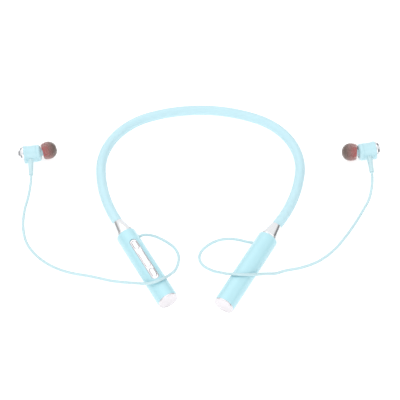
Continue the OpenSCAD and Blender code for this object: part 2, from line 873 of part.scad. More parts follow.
// The housing: a round shell, flared at the back, closed at the front, with a
// tilted nozzle and a hole for the strain relief.
module housing(side) {
    wall = housing_wall;
    color([0.66, 0.88, 0.93])
    on_bud(side)
    difference() {
        union() {
            bar(flare_radius, 0, flare_length);
            taper(flare_radius, housing_radius, flare_length, flare_blend);
            bar(housing_radius, flare_length + flare_blend - small,
                housing_length - flare_length - flare_blend - front_bevel + 2 * small);
            taper(housing_radius, housing_radius - front_inset, housing_length - front_bevel,
                front_bevel);
            translate([nozzle_root, 0, 0])
            rotate([0, 0, nozzle_tilt]) {
                bar(nozzle_radius, 0, nozzle_length);
                bar(nozzle_lip_radius, nozzle_length - 1.2, 0.9);
            }
        }
        bar(housing_radius - wall, -small, housing_length - 2);
        bar(cap_seat_radius, -small, cap_seat_depth + 0.1);
        translate([nozzle_root, 0, 0])
        rotate([0, 0, nozzle_tilt])
        bar(nozzle_bore_radius, -2, nozzle_length + 3);
        on_boot(side)
        cylinder(r = boot_root_diameter / 2 - 0.5, h = housing_radius + 1, $fn = 32);
    }
}

// The polished domed cap on the back, flat in its middle, with a spigot into
// the housing.
module back_cap(side) {
    rim = flare_radius - 0.2;
    rise = back_cap_depth - cap_rim_length + cap_flat;
    dome = (rim * rim + rise * rise) / (2 * rise);
    color([0.85, 0.85, 0.87])
    on_bud(side)
    difference() {
        union() {
            bar(rim, -cap_rim_length, cap_rim_length);
            intersection() {
                bar(rim, -back_cap_depth, back_cap_depth);
                translate([dome - back_cap_depth - cap_flat, 0, 0])
                sphere(r = dome, $fn = 96);
            }
            bar(cap_seat_radius, -small, cap_seat_depth);
        }
        bar(magnet_radius, magnet_back, cap_seat_depth - magnet_back + 1);
    }
}

// The disc magnet in the cap that holds the two earbuds together.
module cap_magnet(side) {
    color([0.7, 0.7, 0.72])
    on_bud(side)
    bar(magnet_radius, magnet_back, magnet_thickness);
}

// The tapered sleeve round the cord where it enters the housing.
module strain_relief(side) {
    color([0.66, 0.88, 0.93])
    on_bud(side) {
        on_boot(side)
        translate([0, 0, boot_plug])
        cylinder(r = boot_root_diameter / 2 - 0.5, h = housing_radius + 0.2 - boot_plug, $fn = 32);
        difference() {
            on_boot(side)
            translate([0, 0, housing_radius - 0.6])
            cylinder(r1 = boot_root_diameter / 2, r2 = boot_end_diameter / 2,
                h = boot_length + 0.6, $fn = 32);
            bar(housing_radius, 0, housing_length);
        }
    }
}

// The moving-coil driver: basket, magnet and diaphragm.
module driver_basket(side) {
    inside = housing_radius - housing_wall;
    color([0.35, 0.35, 0.37])
    on_bud(side)
    difference() {
        bar(inside, driver_back, driver_length);
        bar(inside - driver_wall, driver_back + driver_wall, 3);
        bar(driver_magnet_radius, driver_back - 0.1, 3);
    }
}

module driver_magnet(side) {
    color([0.6, 0.6, 0.62])
    on_bud(side)
    bar(driver_magnet_radius, driver_back - 0.05, 1.9);
}

module diaphragm(side) {
    inside = housing_radius - housing_wall;
    color([0.85, 0.83, 0.75])
    on_bud(side) {
        tube(inside, diaphragm_radius, driver_back + driver_length, 0.3);
        bar(diaphragm_radius, driver_back + driver_length - 0.05, 0.4);
    }
}

// The round mesh in the mouth of the nozzle.
module nozzle_mesh(side) {
    color([0.45, 0.45, 0.47])
    on_nozzle(side)
    bar(nozzle_bore_radius, nozzle_length - 0.5, 0.3);
}

// Half the outline of an ear tip's skirt, with its height along the nozzle.
module skirt_outline(radius, height) {
    translate([0, tip_centre])
    intersection() {
        circle(r = radius, $fn = 64);
        square([radius + 1, radius + 1]);
    }
    polygon([[0, height], [radius - skirt_draw, height], [radius, tip_centre + small],
        [0, tip_centre + small]]);
}

// The grey skirt of an ear tip, with its nose and the front half of its neck.
module tip_dome(side) {
    color([0.45, 0.38, 0.39])
    on_nozzle(side)
    rotate([0, 90, 0])
    rotate_extrude($fn = 64)
    difference() {
        union() {
            difference() {
                skirt_outline(tip_radius, tip_back);
                skirt_outline(tip_radius - tip_wall, tip_back - small);
            }
            intersection() {
                skirt_outline(tip_radius, tip_back);
                translate([0, neck_back])
                square([core_radius, tip_centre + tip_radius]);
            }
        }
        square([tip_hole / 2, tip_centre + tip_radius + 1]);
    }
}

// The coloured core of an ear tip, a soft tube that grips the nozzle and is
// moulded onto the neck.
module tip_core(side) {
    color([0.76, 0.38, 0.4])
    on_nozzle(side)
    tube(core_radius, core_bore_radius, tip_back, neck_back - tip_back);
}

module left_housing() {
    housing(-1);
}

module left_back_cap() {
    back_cap(-1);
}

module left_cap_magnet() {
    cap_magnet(-1);
}

module left_strain_relief() {
    strain_relief(-1);
}

module left_driver_basket() {
    driver_basket(-1);
}

module left_driver_magnet() {
    driver_magnet(-1);
}

module left_diaphragm() {
    diaphragm(-1);
}

module left_nozzle_mesh() {
    nozzle_mesh(-1);
}

module left_tip_dome() {
    tip_dome(-1);
}

module left_tip_core() {
    tip_core(-1);
}

module right_housing() {
    housing(1);
}

module right_back_cap() {
    back_cap(1);
}

module right_cap_magnet() {
    cap_magnet(1);
}

module right_strain_relief() {
    strain_relief(1);
}

module right_driver_basket() {
    driver_basket(1);
}

module right_driver_magnet() {
    driver_magnet(1);
}

module right_diaphragm() {
    diaphragm(1);
}

module right_nozzle_mesh() {
    nozzle_mesh(1);
}

module right_tip_dome() {
    tip_dome(1);
}

module right_tip_core() {
    tip_core(1);
}

neckband_sleeve();
memory_wire();
neck_cable();
left_wire_anchor();
right_wire_anchor();
left_collar();
left_barrel();
left_end_cap();
control_panel();
volume_up_key();
main_key();
volume_down_key();
tact_switches();
main_board();
bluetooth_chip();
usb_socket();
microphone();
status_light();
board_sled();
left_cord_grommet();
right_collar();
right_barrel();
right_end_cap();
battery_cell();
battery_foam();
battery_board();
right_cord_grommet();
left_cord();
right_cord();
left_housing();
left_back_cap();
left_cap_magnet();
left_strain_relief();
left_driver_basket();
left_driver_magnet();
left_diaphragm();
left_nozzle_mesh();
left_tip_dome();
left_tip_core();
right_housing();
right_back_cap();
right_cap_magnet();
right_strain_relief();
right_driver_basket();
right_driver_magnet();
right_diaphragm();
right_nozzle_mesh();
right_tip_dome();
right_tip_core();
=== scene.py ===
"""Neckband earphones: the modelled surfaces, finishes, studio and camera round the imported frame."""

import json
import logging
import math
from collections.abc import Iterator
from contextlib import contextmanager
from dataclasses import dataclass
from enum import Enum

import bmesh
import bpy
from mathutils import Matrix, Vector


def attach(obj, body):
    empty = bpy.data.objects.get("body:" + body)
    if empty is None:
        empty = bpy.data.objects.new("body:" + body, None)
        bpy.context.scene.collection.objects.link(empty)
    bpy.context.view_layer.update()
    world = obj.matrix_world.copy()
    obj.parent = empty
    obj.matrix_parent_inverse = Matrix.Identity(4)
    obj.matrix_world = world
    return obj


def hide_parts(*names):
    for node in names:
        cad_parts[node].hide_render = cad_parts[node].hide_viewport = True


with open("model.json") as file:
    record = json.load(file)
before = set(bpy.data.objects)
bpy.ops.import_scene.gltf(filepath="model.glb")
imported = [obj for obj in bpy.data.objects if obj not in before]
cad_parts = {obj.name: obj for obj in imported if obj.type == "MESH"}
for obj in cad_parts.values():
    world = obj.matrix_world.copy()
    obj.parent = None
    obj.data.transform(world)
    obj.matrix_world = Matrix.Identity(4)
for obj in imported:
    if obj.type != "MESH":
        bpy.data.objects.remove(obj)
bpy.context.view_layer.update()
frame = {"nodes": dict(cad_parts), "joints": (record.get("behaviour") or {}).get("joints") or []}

log = logging.getLogger("neckband")

MM = 0.001  # every shape below is written in millimetres and stored in metres
SHARP = math.radians(32)  # an edge that turns more than this is drawn as an edge
MERGE = 1e-7  # points nearer to each other than this, in metres, are one point
POLE = 1e-6  # an outline's radius below this, in millimetres, is a pole
FULLEST = 0.49  # a fillet takes at most this share of each stretch that it joins

Point = tuple[float, float, float]
Corner = tuple[float, float, float]  # distance along the axis, radius, fillet
Outline = list[tuple[float, float]]
Pairs = tuple[tuple[float, float], ...]


class Side(Enum):
    """Which half of the headset a piece belongs to, as it lies: left is -X."""

    LEFT = -1
    RIGHT = 1

    @property
    def word(self) -> str:
        """The side's name as the frame's nodes and bodies spell it."""
        return self.name.lower()

    @property
    def mirror(self) -> Matrix:
        """The change from a left-hand shape to this side's shape."""
        return Matrix.Scale(-1, 4, Vector((1, 0, 0))) if self is Side.RIGHT else Matrix.Identity(4)


class Cut(Enum):
    """What a carving tool does to the body that it meets."""

    AWAY = "DIFFERENCE"
    JOIN = "UNION"
    KEEP = "INTERSECT"


# ---------------------------------------------------------------- shared mesh work


def fillet(corners: list[Corner], steps: int = 5) -> Outline:
    """Rounds the corners of an open outline.

    Args:
        corners: (distance along the axis, radius, corner's fillet) in millimetres.
        steps: how many stretches each rounded corner is drawn in.

    Returns:
        The outline's points, as (distance along the axis, radius).
    """
    out: Outline = []
    for i, (x, r, size) in enumerate(corners):
        if size <= 0 or i in (0, len(corners) - 1):
            out.append((x, r))
            continue
        here = Vector((x, r))
        to_last = Vector(corners[i - 1][:2]) - here
        to_next = Vector(corners[i + 1][:2]) - here
        half = to_last.angle(to_next) / 2
        reach = min(size / math.tan(half), FULLEST * to_last.length, FULLEST * to_next.length)
        first, last = here + to_last.normalized() * reach, here + to_next.normalized() * reach
        for k in range(steps + 1):
            t = k / steps
            point = first * (1 - t) ** 2 + here * (2 * t * (1 - t)) + last * t**2
            out.append((point.x, point.y))
    return out


def smooth(mesh: bpy.types.Mesh) -> None:
    """Shades a mesh smooth, apart from the edges that turn sharply."""
    mesh.shade_smooth()
    mesh.set_sharp_from_angle(angle=SHARP)


@contextmanager
def opened(piece: bpy.types.Object) -> Iterator[bmesh.types.BMesh]:
    """Opens a piece's mesh for a change, and afterwards turns its faces outwards again.

    Args:
        piece: the piece whose mesh is changed.

    Yields:
        The mesh, in metres.
    """
    bm = bmesh.new()
    bm.from_mesh(piece.data)
    yield bm
    bmesh.ops.recalc_face_normals(bm, faces=bm.faces)
    bm.to_mesh(piece.data)
    bm.free()
    smooth(piece.data)


def in_metres(place: Matrix) -> Matrix:
    """The same move as a place in millimetres, for a mesh that is already in metres."""
    return Matrix.Scale(MM, 4) @ place @ Matrix.Scale(1 / MM, 4)


def finish_mesh(
    name: str, bm: bmesh.types.BMesh, place: Matrix, material: bpy.types.Material
) -> bpy.types.Object:
    """Moves a mesh to its place, closes its doubles, turns its faces outwards and names it.

    Args:
        name: the piece's name.
        bm: the mesh in millimetres, in its own frame. It is freed.
        place: where the own frame lies in the row frame, in millimetres.
        material: the piece's finish.

    Returns:
        The new object, at the origin, with its place in its mesh.
    """
    bm.transform(Matrix.Scale(MM, 4) @ place)
    bmesh.ops.remove_doubles(bm, verts=bm.verts, dist=MERGE)
    bmesh.ops.recalc_face_normals(bm, faces=bm.faces)
    mesh = bpy.data.meshes.new(name)
    bm.to_mesh(mesh)
    bm.free()
    return new_object(name, mesh, material)


def new_object(name: str, data: bpy.types.ID, material: bpy.types.Material) -> bpy.types.Object:
    """Puts a mesh or curve in the scene with one material and smooth faces.

    Args:
        name: the piece's name.
        data: its mesh or curve.
        material: its finish.

    Returns:
        The new object.
    """
    data.materials.clear()
    data.materials.append(material)
    if isinstance(data, bpy.types.Mesh):
        smooth(data)
    made = bpy.data.objects.new(name, data)
    bpy.context.scene.collection.objects.link(made)
    return made


def lathe(bm: bmesh.types.BMesh, outline: Outline, sides: int, closed: bool) -> None:
    """Turns an outline round +X.

    Args:
        bm: the mesh that receives the shape.
        outline: (distance along X, radius) points. A radius of nothing makes a pole.
        sides: how many faces go round.
        closed: whether the last point joins the first, as in a ring or a tube.
    """
    loops = []
    for x, r in outline:
        if r < POLE:
            loops.append([bm.verts.new((x, 0, 0))] * sides)
            continue
        angles = [2 * math.pi * k / sides for k in range(sides)]
        loops.append([bm.verts.new((x, r * math.cos(a), r * math.sin(a))) for a in angles])
    pairs = list(zip(loops, loops[1:]))
    if closed:
        pairs.append((loops[-1], loops[0]))
    for first, second in pairs:
        for k in range(sides):
            n = (k + 1) % sides
            corners = list(dict.fromkeys((first[k], first[n], second[n], second[k])))
            if len(corners) > 2:
                bm.faces.new(corners)


def turned(
    name: str,
    outline: Outline,
    place: Matrix,
    material: bpy.types.Material,
    sides: int = 72,
    closed: bool = True,
) -> bpy.types.Object:
    """A round piece turned about its own +X.

    Args:
        name: the piece's name.
        outline: (distance along X, radius) points in millimetres.
        place: where the piece's own frame lies, in millimetres.
        material: its finish.
        sides: how many faces go round.
        closed: whether the outline closes on itself.

    Returns:
        The new object.
    """
    bm = bmesh.new()
    lathe(bm, outline, sides, closed)
    return finish_mesh(name, bm, place, material)


def stadium(start: float, length: float, width: float, steps: int = 14) -> Outline:
    """The outline of a plate with round ends, in the XY plane.

    Args:
        start: where the plate begins along X, in millimetres.
        length: its whole length.
        width: its width.
        steps: how many stretches each round end is drawn in.

    Returns:
        The outline's points, anticlockwise.
    """
    r = width / 2
    points: Outline = []
    for x, first in ((start + length - r, -90), (start + r, 90)):
        for k in range(steps + 1):
            angle = math.radians(first + 180 * k / steps)
            points.append((x + r * math.cos(angle), r * math.sin(angle)))
    return points


def stack(
    bm: bmesh.types.BMesh, start: float, length: float, width: float, layers: Outline
) -> None:
    """A plate with round ends whose edge follows the given steps, closed below and above.

    Args:
        bm: the mesh that receives the shape.
        start: where the plate begins along X, in millimetres.
        length: its whole length.
        width: its whole width.
        layers: (inset from the outline, height) from the bottom face to the top face.
    """
    loops = []
    for inset, height in layers:
        points = stadium(start + inset, length - 2 * inset, width - 2 * inset)
        loops.append([bm.verts.new((x, y, height)) for x, y in points])
    count = len(loops[0])
    for low, high in zip(loops, loops[1:]):
        for k in range(count):
            n = (k + 1) % count
            bm.faces.new((low[k], low[n], high[n], high[k]))
    bm.faces.new(list(reversed(loops[0])))
    bm.faces.new(loops[-1])


def carve(
    body: bpy.types.Object, tools: list[bpy.types.Object], cut: Cut = Cut.AWAY
) -> bpy.types.Object:
    """Cuts tools out of a body, or joins them to it, and throws the tools away.

    Args:
        body: the piece that is kept.
        tools: closed shapes, which are removed afterwards.
        cut: what the tools do to the body.

    Returns:
        The body, with a plain mesh.
    """
    for tool in tools:
        modifier = body.modifiers.new("cut", "BOOLEAN")
        modifier.solver = "EXACT"
        modifier.operation = cut.value
        modifier.object = tool
        settle(body)
    for tool in tools:
        bpy.data.objects.remove(tool)
    return body


def settle(piece: bpy.types.Object) -> None:
    """Turns a mesh piece's modifiers into its plain mesh, with sharp edges marked again.

    Args:
        piece: the piece.
    """
    ready = piece.evaluated_get(bpy.context.evaluated_depsgraph_get())
    made = bpy.data.meshes.new_from_object(ready)
    piece.modifiers.clear()
    old = piece.data
    piece.data = made
    bpy.data.meshes.remove(old)
    smooth(made)


def rod(radius: float, start: float, length: float, sides: int) -> bmesh.types.BMesh:
    """A closed round rod along +X, for cutting with.

    Args:
        radius: its radius in millimetres.
        start: where it begins along X.
        length: how long it is.
        sides: how many faces go round.

    Returns:
        The rod's mesh.
    """
    end = start + length
    bm = bmesh.new()
    lathe(bm, [(start, 0), (start, radius), (end, radius), (end, 0)], sides, closed=False)
    return bm


# ---------------------------------------------------------------- shared node work


def add_node(
    tree: bpy.types.NodeTree,
    kind: str,
    values: dict[str | int, object] | None = None,
    links: dict[str | int, bpy.types.Node | bpy.types.NodeSocket] | None = None,
    **props: object,
) -> bpy.types.Node:
    """Adds one node with its settings and links.

    Args:
        tree: the node tree.
        kind: the node's type name.
        values: input name or number to constant.
        links: input name or number to an output socket, or to a node, meaning its first output.
        props: the node's own settings, such as operation.

    Returns:
        The node.
    """
    node = tree.nodes.new(kind)
    for key, value in props.items():
        setattr(node, key, value)
    for key, value in (values or {}).items():
        node.inputs[key].default_value = value
    for key, source in (links or {}).items():
        socket = source.outputs[0] if isinstance(source, bpy.types.Node) else source
        tree.links.new(socket, node.inputs[key])
    return node


def paint(code: str) -> tuple[float, float, float, float]:
    """The linear colour of an sRGB hex code such as "#a0b0c0"."""
    parts = [int(code[i : i + 2], 16) / 255 for i in (1, 3, 5)]
    return (*(p / 12.92 if p <= 0.04045 else ((p + 0.055) / 1.055) ** 2.4 for p in parts), 1.0)


def per_metre(size_mm: float) -> float:
    """The texture scale whose features are about size_mm across."""
    return 1 / (size_mm * MM)


class Texture(Enum):
    """The pattern that a finish is made from, named for how the surface was made."""

    MOULDED = "fine grain of a moulded or cast skin"
    TURNED = "fine lines that run round a turned or drawn piece"
    FOAMED = "open cells"
    PRINTED = "copper tracks under a lacquer"
    WOVEN = "crossing strands"


@dataclass(frozen=True)
class Finish:
    """One real finish: its colours, its gloss and the pattern of its surface.

    The grain is the size of the pattern in millimetres and the depth is how far it stands out.
    """

    name: str
    tone: str
    shade: str
    roughness: float
    texture: Texture = Texture.MOULDED
    grain: float = 0.5
    depth: float = 0.01
    patch: float = 14.0
    patchiness: float = 0.5
    gloss_spread: float = 0.06
    metallic: float = 0.0
    ior: float = 1.5
    coat: float = 0.0
    coat_roughness: float = 0.1
    sheen: float = 0.0
    scatter: float = 0.0
    scatter_reach: float = 1.0
    alpha: float = 1.0
    front_alpha: float = 1.0
    rear_tone: str = ""

    def build(self) -> bpy.types.Material:
        """Makes the material, once for each finish.

        Returns:
            The material.
        """
        known = bpy.data.materials.get(self.name)
        if known:
            return known
        material = bpy.data.materials.new(self.name)
        material.use_nodes = True
        tree = material.node_tree
        tree.nodes.clear()
        place = add_node(tree, "ShaderNodeTexCoord").outputs["Object"]
        # broad, faint patches: no real surface has one even colour or gloss
        broad = add_node(
            tree,
            "ShaderNodeTexNoise",
            {"Scale": per_metre(self.patch), "Detail": 2.0},
            {"Vector": place},
        )
        mottle = add_node(
            tree,
            "ShaderNodeMapRange",
            {
                "From Min": 0.3,
                "From Max": 0.7,
                "To Min": 0.5 - self.patchiness / 2,
                "To Max": 0.5 + self.patchiness / 2,
            },
            {"Value": broad},
        )
        height = self._pattern(tree, place)
        tone = add_node(
            tree,
            "ShaderNodeMix",
            {6: paint(self.shade), 7: paint(self.tone)},
            {0: mottle},
            data_type="RGBA",
        )
        gloss = add_node(
            tree,
            "ShaderNodeMapRange",
            {
                "From Min": 0.25,
                "From Max": 0.75,
                "To Min": max(0.02, self.roughness - self.gloss_spread),
                "To Max": self.roughness + self.gloss_spread,
            },
            {"Value": height},
        )
        bump = add_node(
            tree, "ShaderNodeBump", {"Strength": 1.0, "Distance": self.depth * MM}, {"Height": height}
        )
        shader = add_node(
            tree,
            "ShaderNodeBsdfPrincipled",
            {
                "Metallic": self.metallic,
                "IOR": self.ior,
                "Coat Weight": self.coat,
                "Coat Roughness": self.coat_roughness,
                "Sheen Weight": self.sheen,
                "Subsurface Weight": self.scatter,
                "Subsurface Scale": self.scatter_reach * MM,
                "Subsurface Radius": (0.8, 1.0, 1.0),
            },
            {"Base Color": tone.outputs[2], "Roughness": gloss, "Normal": bump},
        )
        if self.alpha < 1:
            self._thin(tree, shader, tone.outputs[2])
        add_node(tree, "ShaderNodeOutputMaterial", links={"Surface": shader})
        return material

    def _thin(
        self, tree: bpy.types.NodeTree, shader: bpy.types.Node, tone: bpy.types.NodeSocket
    ) -> None:
        """Lets light through, and tints the open end of a piece with what it covers.

        Args:
            tree: the material's nodes.
            shader: its shader.
            tone: the colour at the thick nose.
        """
        stored = add_node(tree, "ShaderNodeAttribute", attribute_name="nose", attribute_type="GEOMETRY")
        nose = stored.outputs["Fac"]
        body = add_node(
            tree,
            "ShaderNodeMapRange",
            {"To Min": self.alpha, "To Max": self.front_alpha},
            {"Value": nose},
        )
        rear = add_node(
            tree, "ShaderNodeMapRange", {"From Min": 0.2, "From Max": 0.75}, {"Value": nose}
        )
        glow = add_node(
            tree, "ShaderNodeMix", {6: paint(self.rear_tone)}, {0: rear, 7: tone}, data_type="RGBA"
        )
        tree.links.new(body.outputs[0], shader.inputs["Alpha"])
        tree.links.new(glow.outputs[2], shader.inputs["Base Color"])

    def _pattern(self, tree: bpy.types.NodeTree, place: bpy.types.NodeSocket) -> bpy.types.NodeSocket:
        """Adds the nodes of the surface's pattern.

        Args:
            tree: the material's nodes.
            place: the object coordinates.

        Returns:
            The socket with the pattern's height, from 0 to 1.
        """
        scale = per_metre(self.grain)
        if self.texture is Texture.FOAMED:
            return add_node(
                tree, "ShaderNodeTexVoronoi", {"Scale": scale}, {"Vector": place}, feature="SMOOTH_F1"
            ).outputs["Distance"]
        if self.texture is Texture.PRINTED:
            return add_node(
                tree, "ShaderNodeTexBrick", {"Scale": scale, "Mortar Size": 0.06}, {"Vector": place}
            ).outputs["Fac"]
        if self.texture is Texture.WOVEN:
            return add_node(
                tree, "ShaderNodeTexWave", {"Scale": scale / 3, "Distortion": 0.4}, {"Vector": place}
            ).outputs["Fac"]
        if self.texture is Texture.TURNED:
            spread = add_node(tree, "ShaderNodeMapping", {"Scale": (0.08, 1.0, 1.0)}, {"Vector": place})
            return add_node(
                tree, "ShaderNodeTexNoise", {"Scale": scale, "Detail": 3.0}, {"Vector": spread}
            ).outputs[0]
        return add_node(
            tree,
            "ShaderNodeTexNoise",
            {"Scale": scale, "Detail": 4.0, "Roughness": 0.6},
            {"Vector": place},
        ).outputs[0]


# The sky-blue skins. A spark-eroded mould leaves a grain of about 0.05 mm, drawn here at 0.35 mm
# and more, because a finer one would not show.
BAND_SILICONE = Finish(
    # cast silicone rubber, satin: light sinks in a little, so the tube looks soft and even
    "cast_silicone_sky_blue", "#bbdbe3", "#b6d7e0", 0.42, grain=0.45, depth=0.012, ior=1.41,
    sheen=0.08, scatter=0.12, scatter_reach=1.2,
)
STICK_ABS = Finish(
    # injection-moulded ABS under a satin lacquer: an even skin with a soft broad highlight
    "lacquered_abs_sky_blue", "#add8e1", "#a8d4de", 0.36, grain=0.38, depth=0.006, coat=0.6,
    coat_roughness=0.2, patch=22.0,
)
HOUSING_ABS = Finish(
    # the same lacquered ABS on the small earbud shells, a little glossier
    "gloss_lacquered_abs_sky_blue", "#b6d8e0", "#b0d4dd", 0.28, grain=0.35, depth=0.005, coat=0.35,
    coat_roughness=0.12, patch=7.0,
)
CORD_TPE = Finish(
    # extruded thermoplastic rubber: a dull skin drawn out along the cord
    "extruded_tpe_pale_blue", "#bdd7dc", "#b7d3d9", 0.5, grain=0.5, depth=0.01, ior=1.48, sheen=0.1,
    scatter=0.1, scatter_reach=0.6, patch=9.0,
)
COLLAR_SILVER = Finish(
    # vacuum-metallised ABS: a thin bright metal film on smooth plastic, mirror-like but not hard
    "metallised_abs_silver", "#e2e3e5", "#dfe0e2", 0.14, Texture.TURNED, grain=0.6, depth=0.001,
    gloss_spread=0.04, metallic=1.0,
)
CAP_PEARL = Finish(
    # pearl lacquer over a metallised cap: pale, faintly pink, with a clear gloss over it
    "pearl_lacquer_on_metallised_abs", "#d9d5d9", "#d7d3d7", 0.24, grain=0.5, depth=0.0002,
    gloss_spread=0.02, metallic=0.55, coat=0.6, coat_roughness=0.06,
)
PANEL_SILVER = Finish(
    # satin metallised strip under the keys
    "satin_metallised_abs", "#e0dde0", "#dbd8db", 0.17, grain=0.4, depth=0.002, gloss_spread=0.04,
    metallic=0.85, coat=0.4, coat_roughness=0.05,
)
KEY_SILVER = Finish(
    # the keys' own bright film, glossier than the strip where fingers polish it
    "bright_metallised_abs_keys", "#e5e2e5", "#dfdcdf", 0.1, grain=0.4, depth=0.001, gloss_spread=0.03,
    metallic=0.9, coat=0.5, coat_roughness=0.04,
)
CHROME = Finish(
    # polished chrome plate: a mirror with the faintest haze of handling
    "polished_chrome_plate", "#e6e7ea", "#dcdde0", 0.05, Texture.TURNED, grain=0.8, depth=0.0008,
    gloss_spread=0.02, metallic=1.0,
)
TIP_GREY = Finish(
    # thin smoky liquid silicone: clear enough to see the core through the skirt, dense at the nose,
    # with the core's red glowing in its rear half
    "smoky_liquid_silicone", "#7d6c67", "#75645e", 0.3, grain=0.5, depth=0.004, ior=1.41, coat=0.15,
    patch=4.0, alpha=0.42, front_alpha=0.78, rear_tone="#a5706d",
)
TIP_RED = Finish(
    # solid red liquid silicone, satin, with light glowing a little inside it
    "red_liquid_silicone", "#dc3f4c", "#cf3541", 0.38, grain=0.5, depth=0.004, ior=1.41, scatter=0.2,
    scatter_reach=0.8, patch=4.0,
)
# The hidden pieces, each in what it is made of.
SPRING_STEEL = Finish(
    "drawn_spring_steel", "#b9bbc0", "#a9abb0", 0.28, Texture.TURNED, grain=0.3, metallic=1.0,
)
CABLE_PVC = Finish("extruded_black_pvc", "#1b1c1e", "#131415", 0.5, Texture.WOVEN, grain=0.6)
BRASS = Finish("turned_brass", "#c7a356", "#b39045", 0.3, Texture.TURNED, grain=0.3, metallic=1.0)
BLACK_PLASTIC = Finish("glass_filled_nylon_black", "#1c1d1f", "#121314", 0.55, grain=0.3, depth=0.01)
SOLDER_MASK = Finish(
    "green_solder_mask", "#0f5a37", "#0b4a2c", 0.3, Texture.PRINTED, grain=1.2, coat=0.3,
)
SOCKET_STEEL = Finish(
    "stamped_stainless_steel", "#b7b8bb", "#a5a6aa", 0.3, Texture.TURNED, grain=0.25, metallic=1.0,
)
MICROPHONE_CAN = Finish("gold_washed_can", "#c3b48b", "#b3a47c", 0.26, grain=0.3, metallic=1.0)
LIGHT_PIPE = Finish("frosted_polycarbonate", "#e8edf2", "#dde4ec", 0.35, grain=0.4, scatter=0.2)
CELL_FOIL = Finish(
    "battery_foil_laminate", "#9a9ea5", "#8c9097", 0.34, grain=0.8, depth=0.03, metallic=0.8,
)
FOAM = Finish("open_cell_foam", "#35353a", "#28282c", 0.9, Texture.FOAMED, grain=0.5, depth=0.2)
MAGNET = Finish("nickel_plated_magnet", "#b3b4b8", "#a5a6aa", 0.2, grain=0.4, metallic=1.0)
DIAPHRAGM_FILM = Finish(
    "pressed_pet_film", "#d9d3bf", "#cbc5b0", 0.22, Texture.TURNED, grain=0.3, coat=0.3,
)
FINE_MESH = Finish(
    "woven_stainless_wire", "#85878c", "#74767b", 0.35, Texture.TURNED, grain=0.2, metallic=1.0,
)

# The nodes that are carried over as they are, by the finish that each gets.
CARRIED: dict[Finish, tuple[str, ...]] = {
    SPRING_STEEL: ("memory_wire",),
    CABLE_PVC: ("neck_cable",),
    BRASS: ("left_wire_anchor", "right_wire_anchor"),
    BLACK_PLASTIC: (
        "tact_switches", "bluetooth_chip", "board_sled", "left_driver_basket", "right_driver_basket",
    ),
    SOLDER_MASK: ("main_board", "battery_board"),
    SOCKET_STEEL: ("usb_socket",),
    MICROPHONE_CAN: ("microphone",),
    LIGHT_PIPE: ("status_light",),
    CELL_FOIL: ("battery_cell",),
    FOAM: ("battery_foam",),
    MAGNET: ("left_cap_magnet", "right_cap_magnet", "left_driver_magnet", "right_driver_magnet"),
    DIAPHRAGM_FILM: ("left_diaphragm", "right_diaphragm"),
}


# ---------------------------------------------------------------- geometry node trees


def new_tree(name: str, sizes: dict[str, tuple[str, float]]) -> bpy.types.GeometryNodeTree:
    """An empty geometry tree with named inputs.

    Args:
        name: the tree's name.
        sizes: input name to its socket type and default.

    Returns:
        The tree, with no nodes in it yet.
    """
    tree = bpy.data.node_groups.new(name, "GeometryNodeTree")
    tree.interface.new_socket("Geometry", in_out="INPUT", socket_type="NodeSocketGeometry")
    for label, (kind, value) in sizes.items():
        tree.interface.new_socket(label, in_out="INPUT", socket_type=kind).default_value = value
    tree.interface.new_socket("Finish", in_out="INPUT", socket_type="NodeSocketMaterial")
    tree.interface.new_socket("Geometry", in_out="OUTPUT", socket_type="NodeSocketGeometry")
    return tree


def end_tree(
    tree: bpy.types.GeometryNodeTree, start: bpy.types.Node, shape: bpy.types.NodeSocket
) -> None:
    """Ends a tree in Realize Instances, Set Material and the group output.

    Args:
        tree: the tree.
        start: its group input node.
        shape: the socket with the geometry.
    """
    real = add_node(tree, "GeometryNodeRealizeInstances", links={"Geometry": shape})
    dressed = add_node(
        tree, "GeometryNodeSetMaterial", links={"Geometry": real, "Material": start.outputs["Finish"]}
    )
    add_node(tree, "NodeGroupOutput", links={"Geometry": dressed})


def run_tree(
    piece: bpy.types.Object, tree: bpy.types.GeometryNodeTree, values: dict[str, object], name: str
) -> bpy.types.Object:
    """Runs a tree on an object and keeps the result as a plain mesh piece.

    Args:
        piece: the object that the tree starts from. It is removed.
        tree: the geometry tree.
        values: input name to value, the material among them.
        name: the new piece's name.

    Returns:
        The new piece.
    """
    modifier = piece.modifiers.new("shape", "NODES")
    modifier.node_group = tree
    names = {i.name: i.identifier for i in tree.interface.items_tree if i.in_out == "INPUT"}
    for label, value in values.items():
        modifier[names[label]] = value
    ready = piece.evaluated_get(bpy.context.evaluated_depsgraph_get())
    mesh = bpy.data.meshes.new_from_object(ready)
    mesh.name = name
    bpy.data.objects.remove(piece)
    return new_object(name, mesh, values["Finish"])


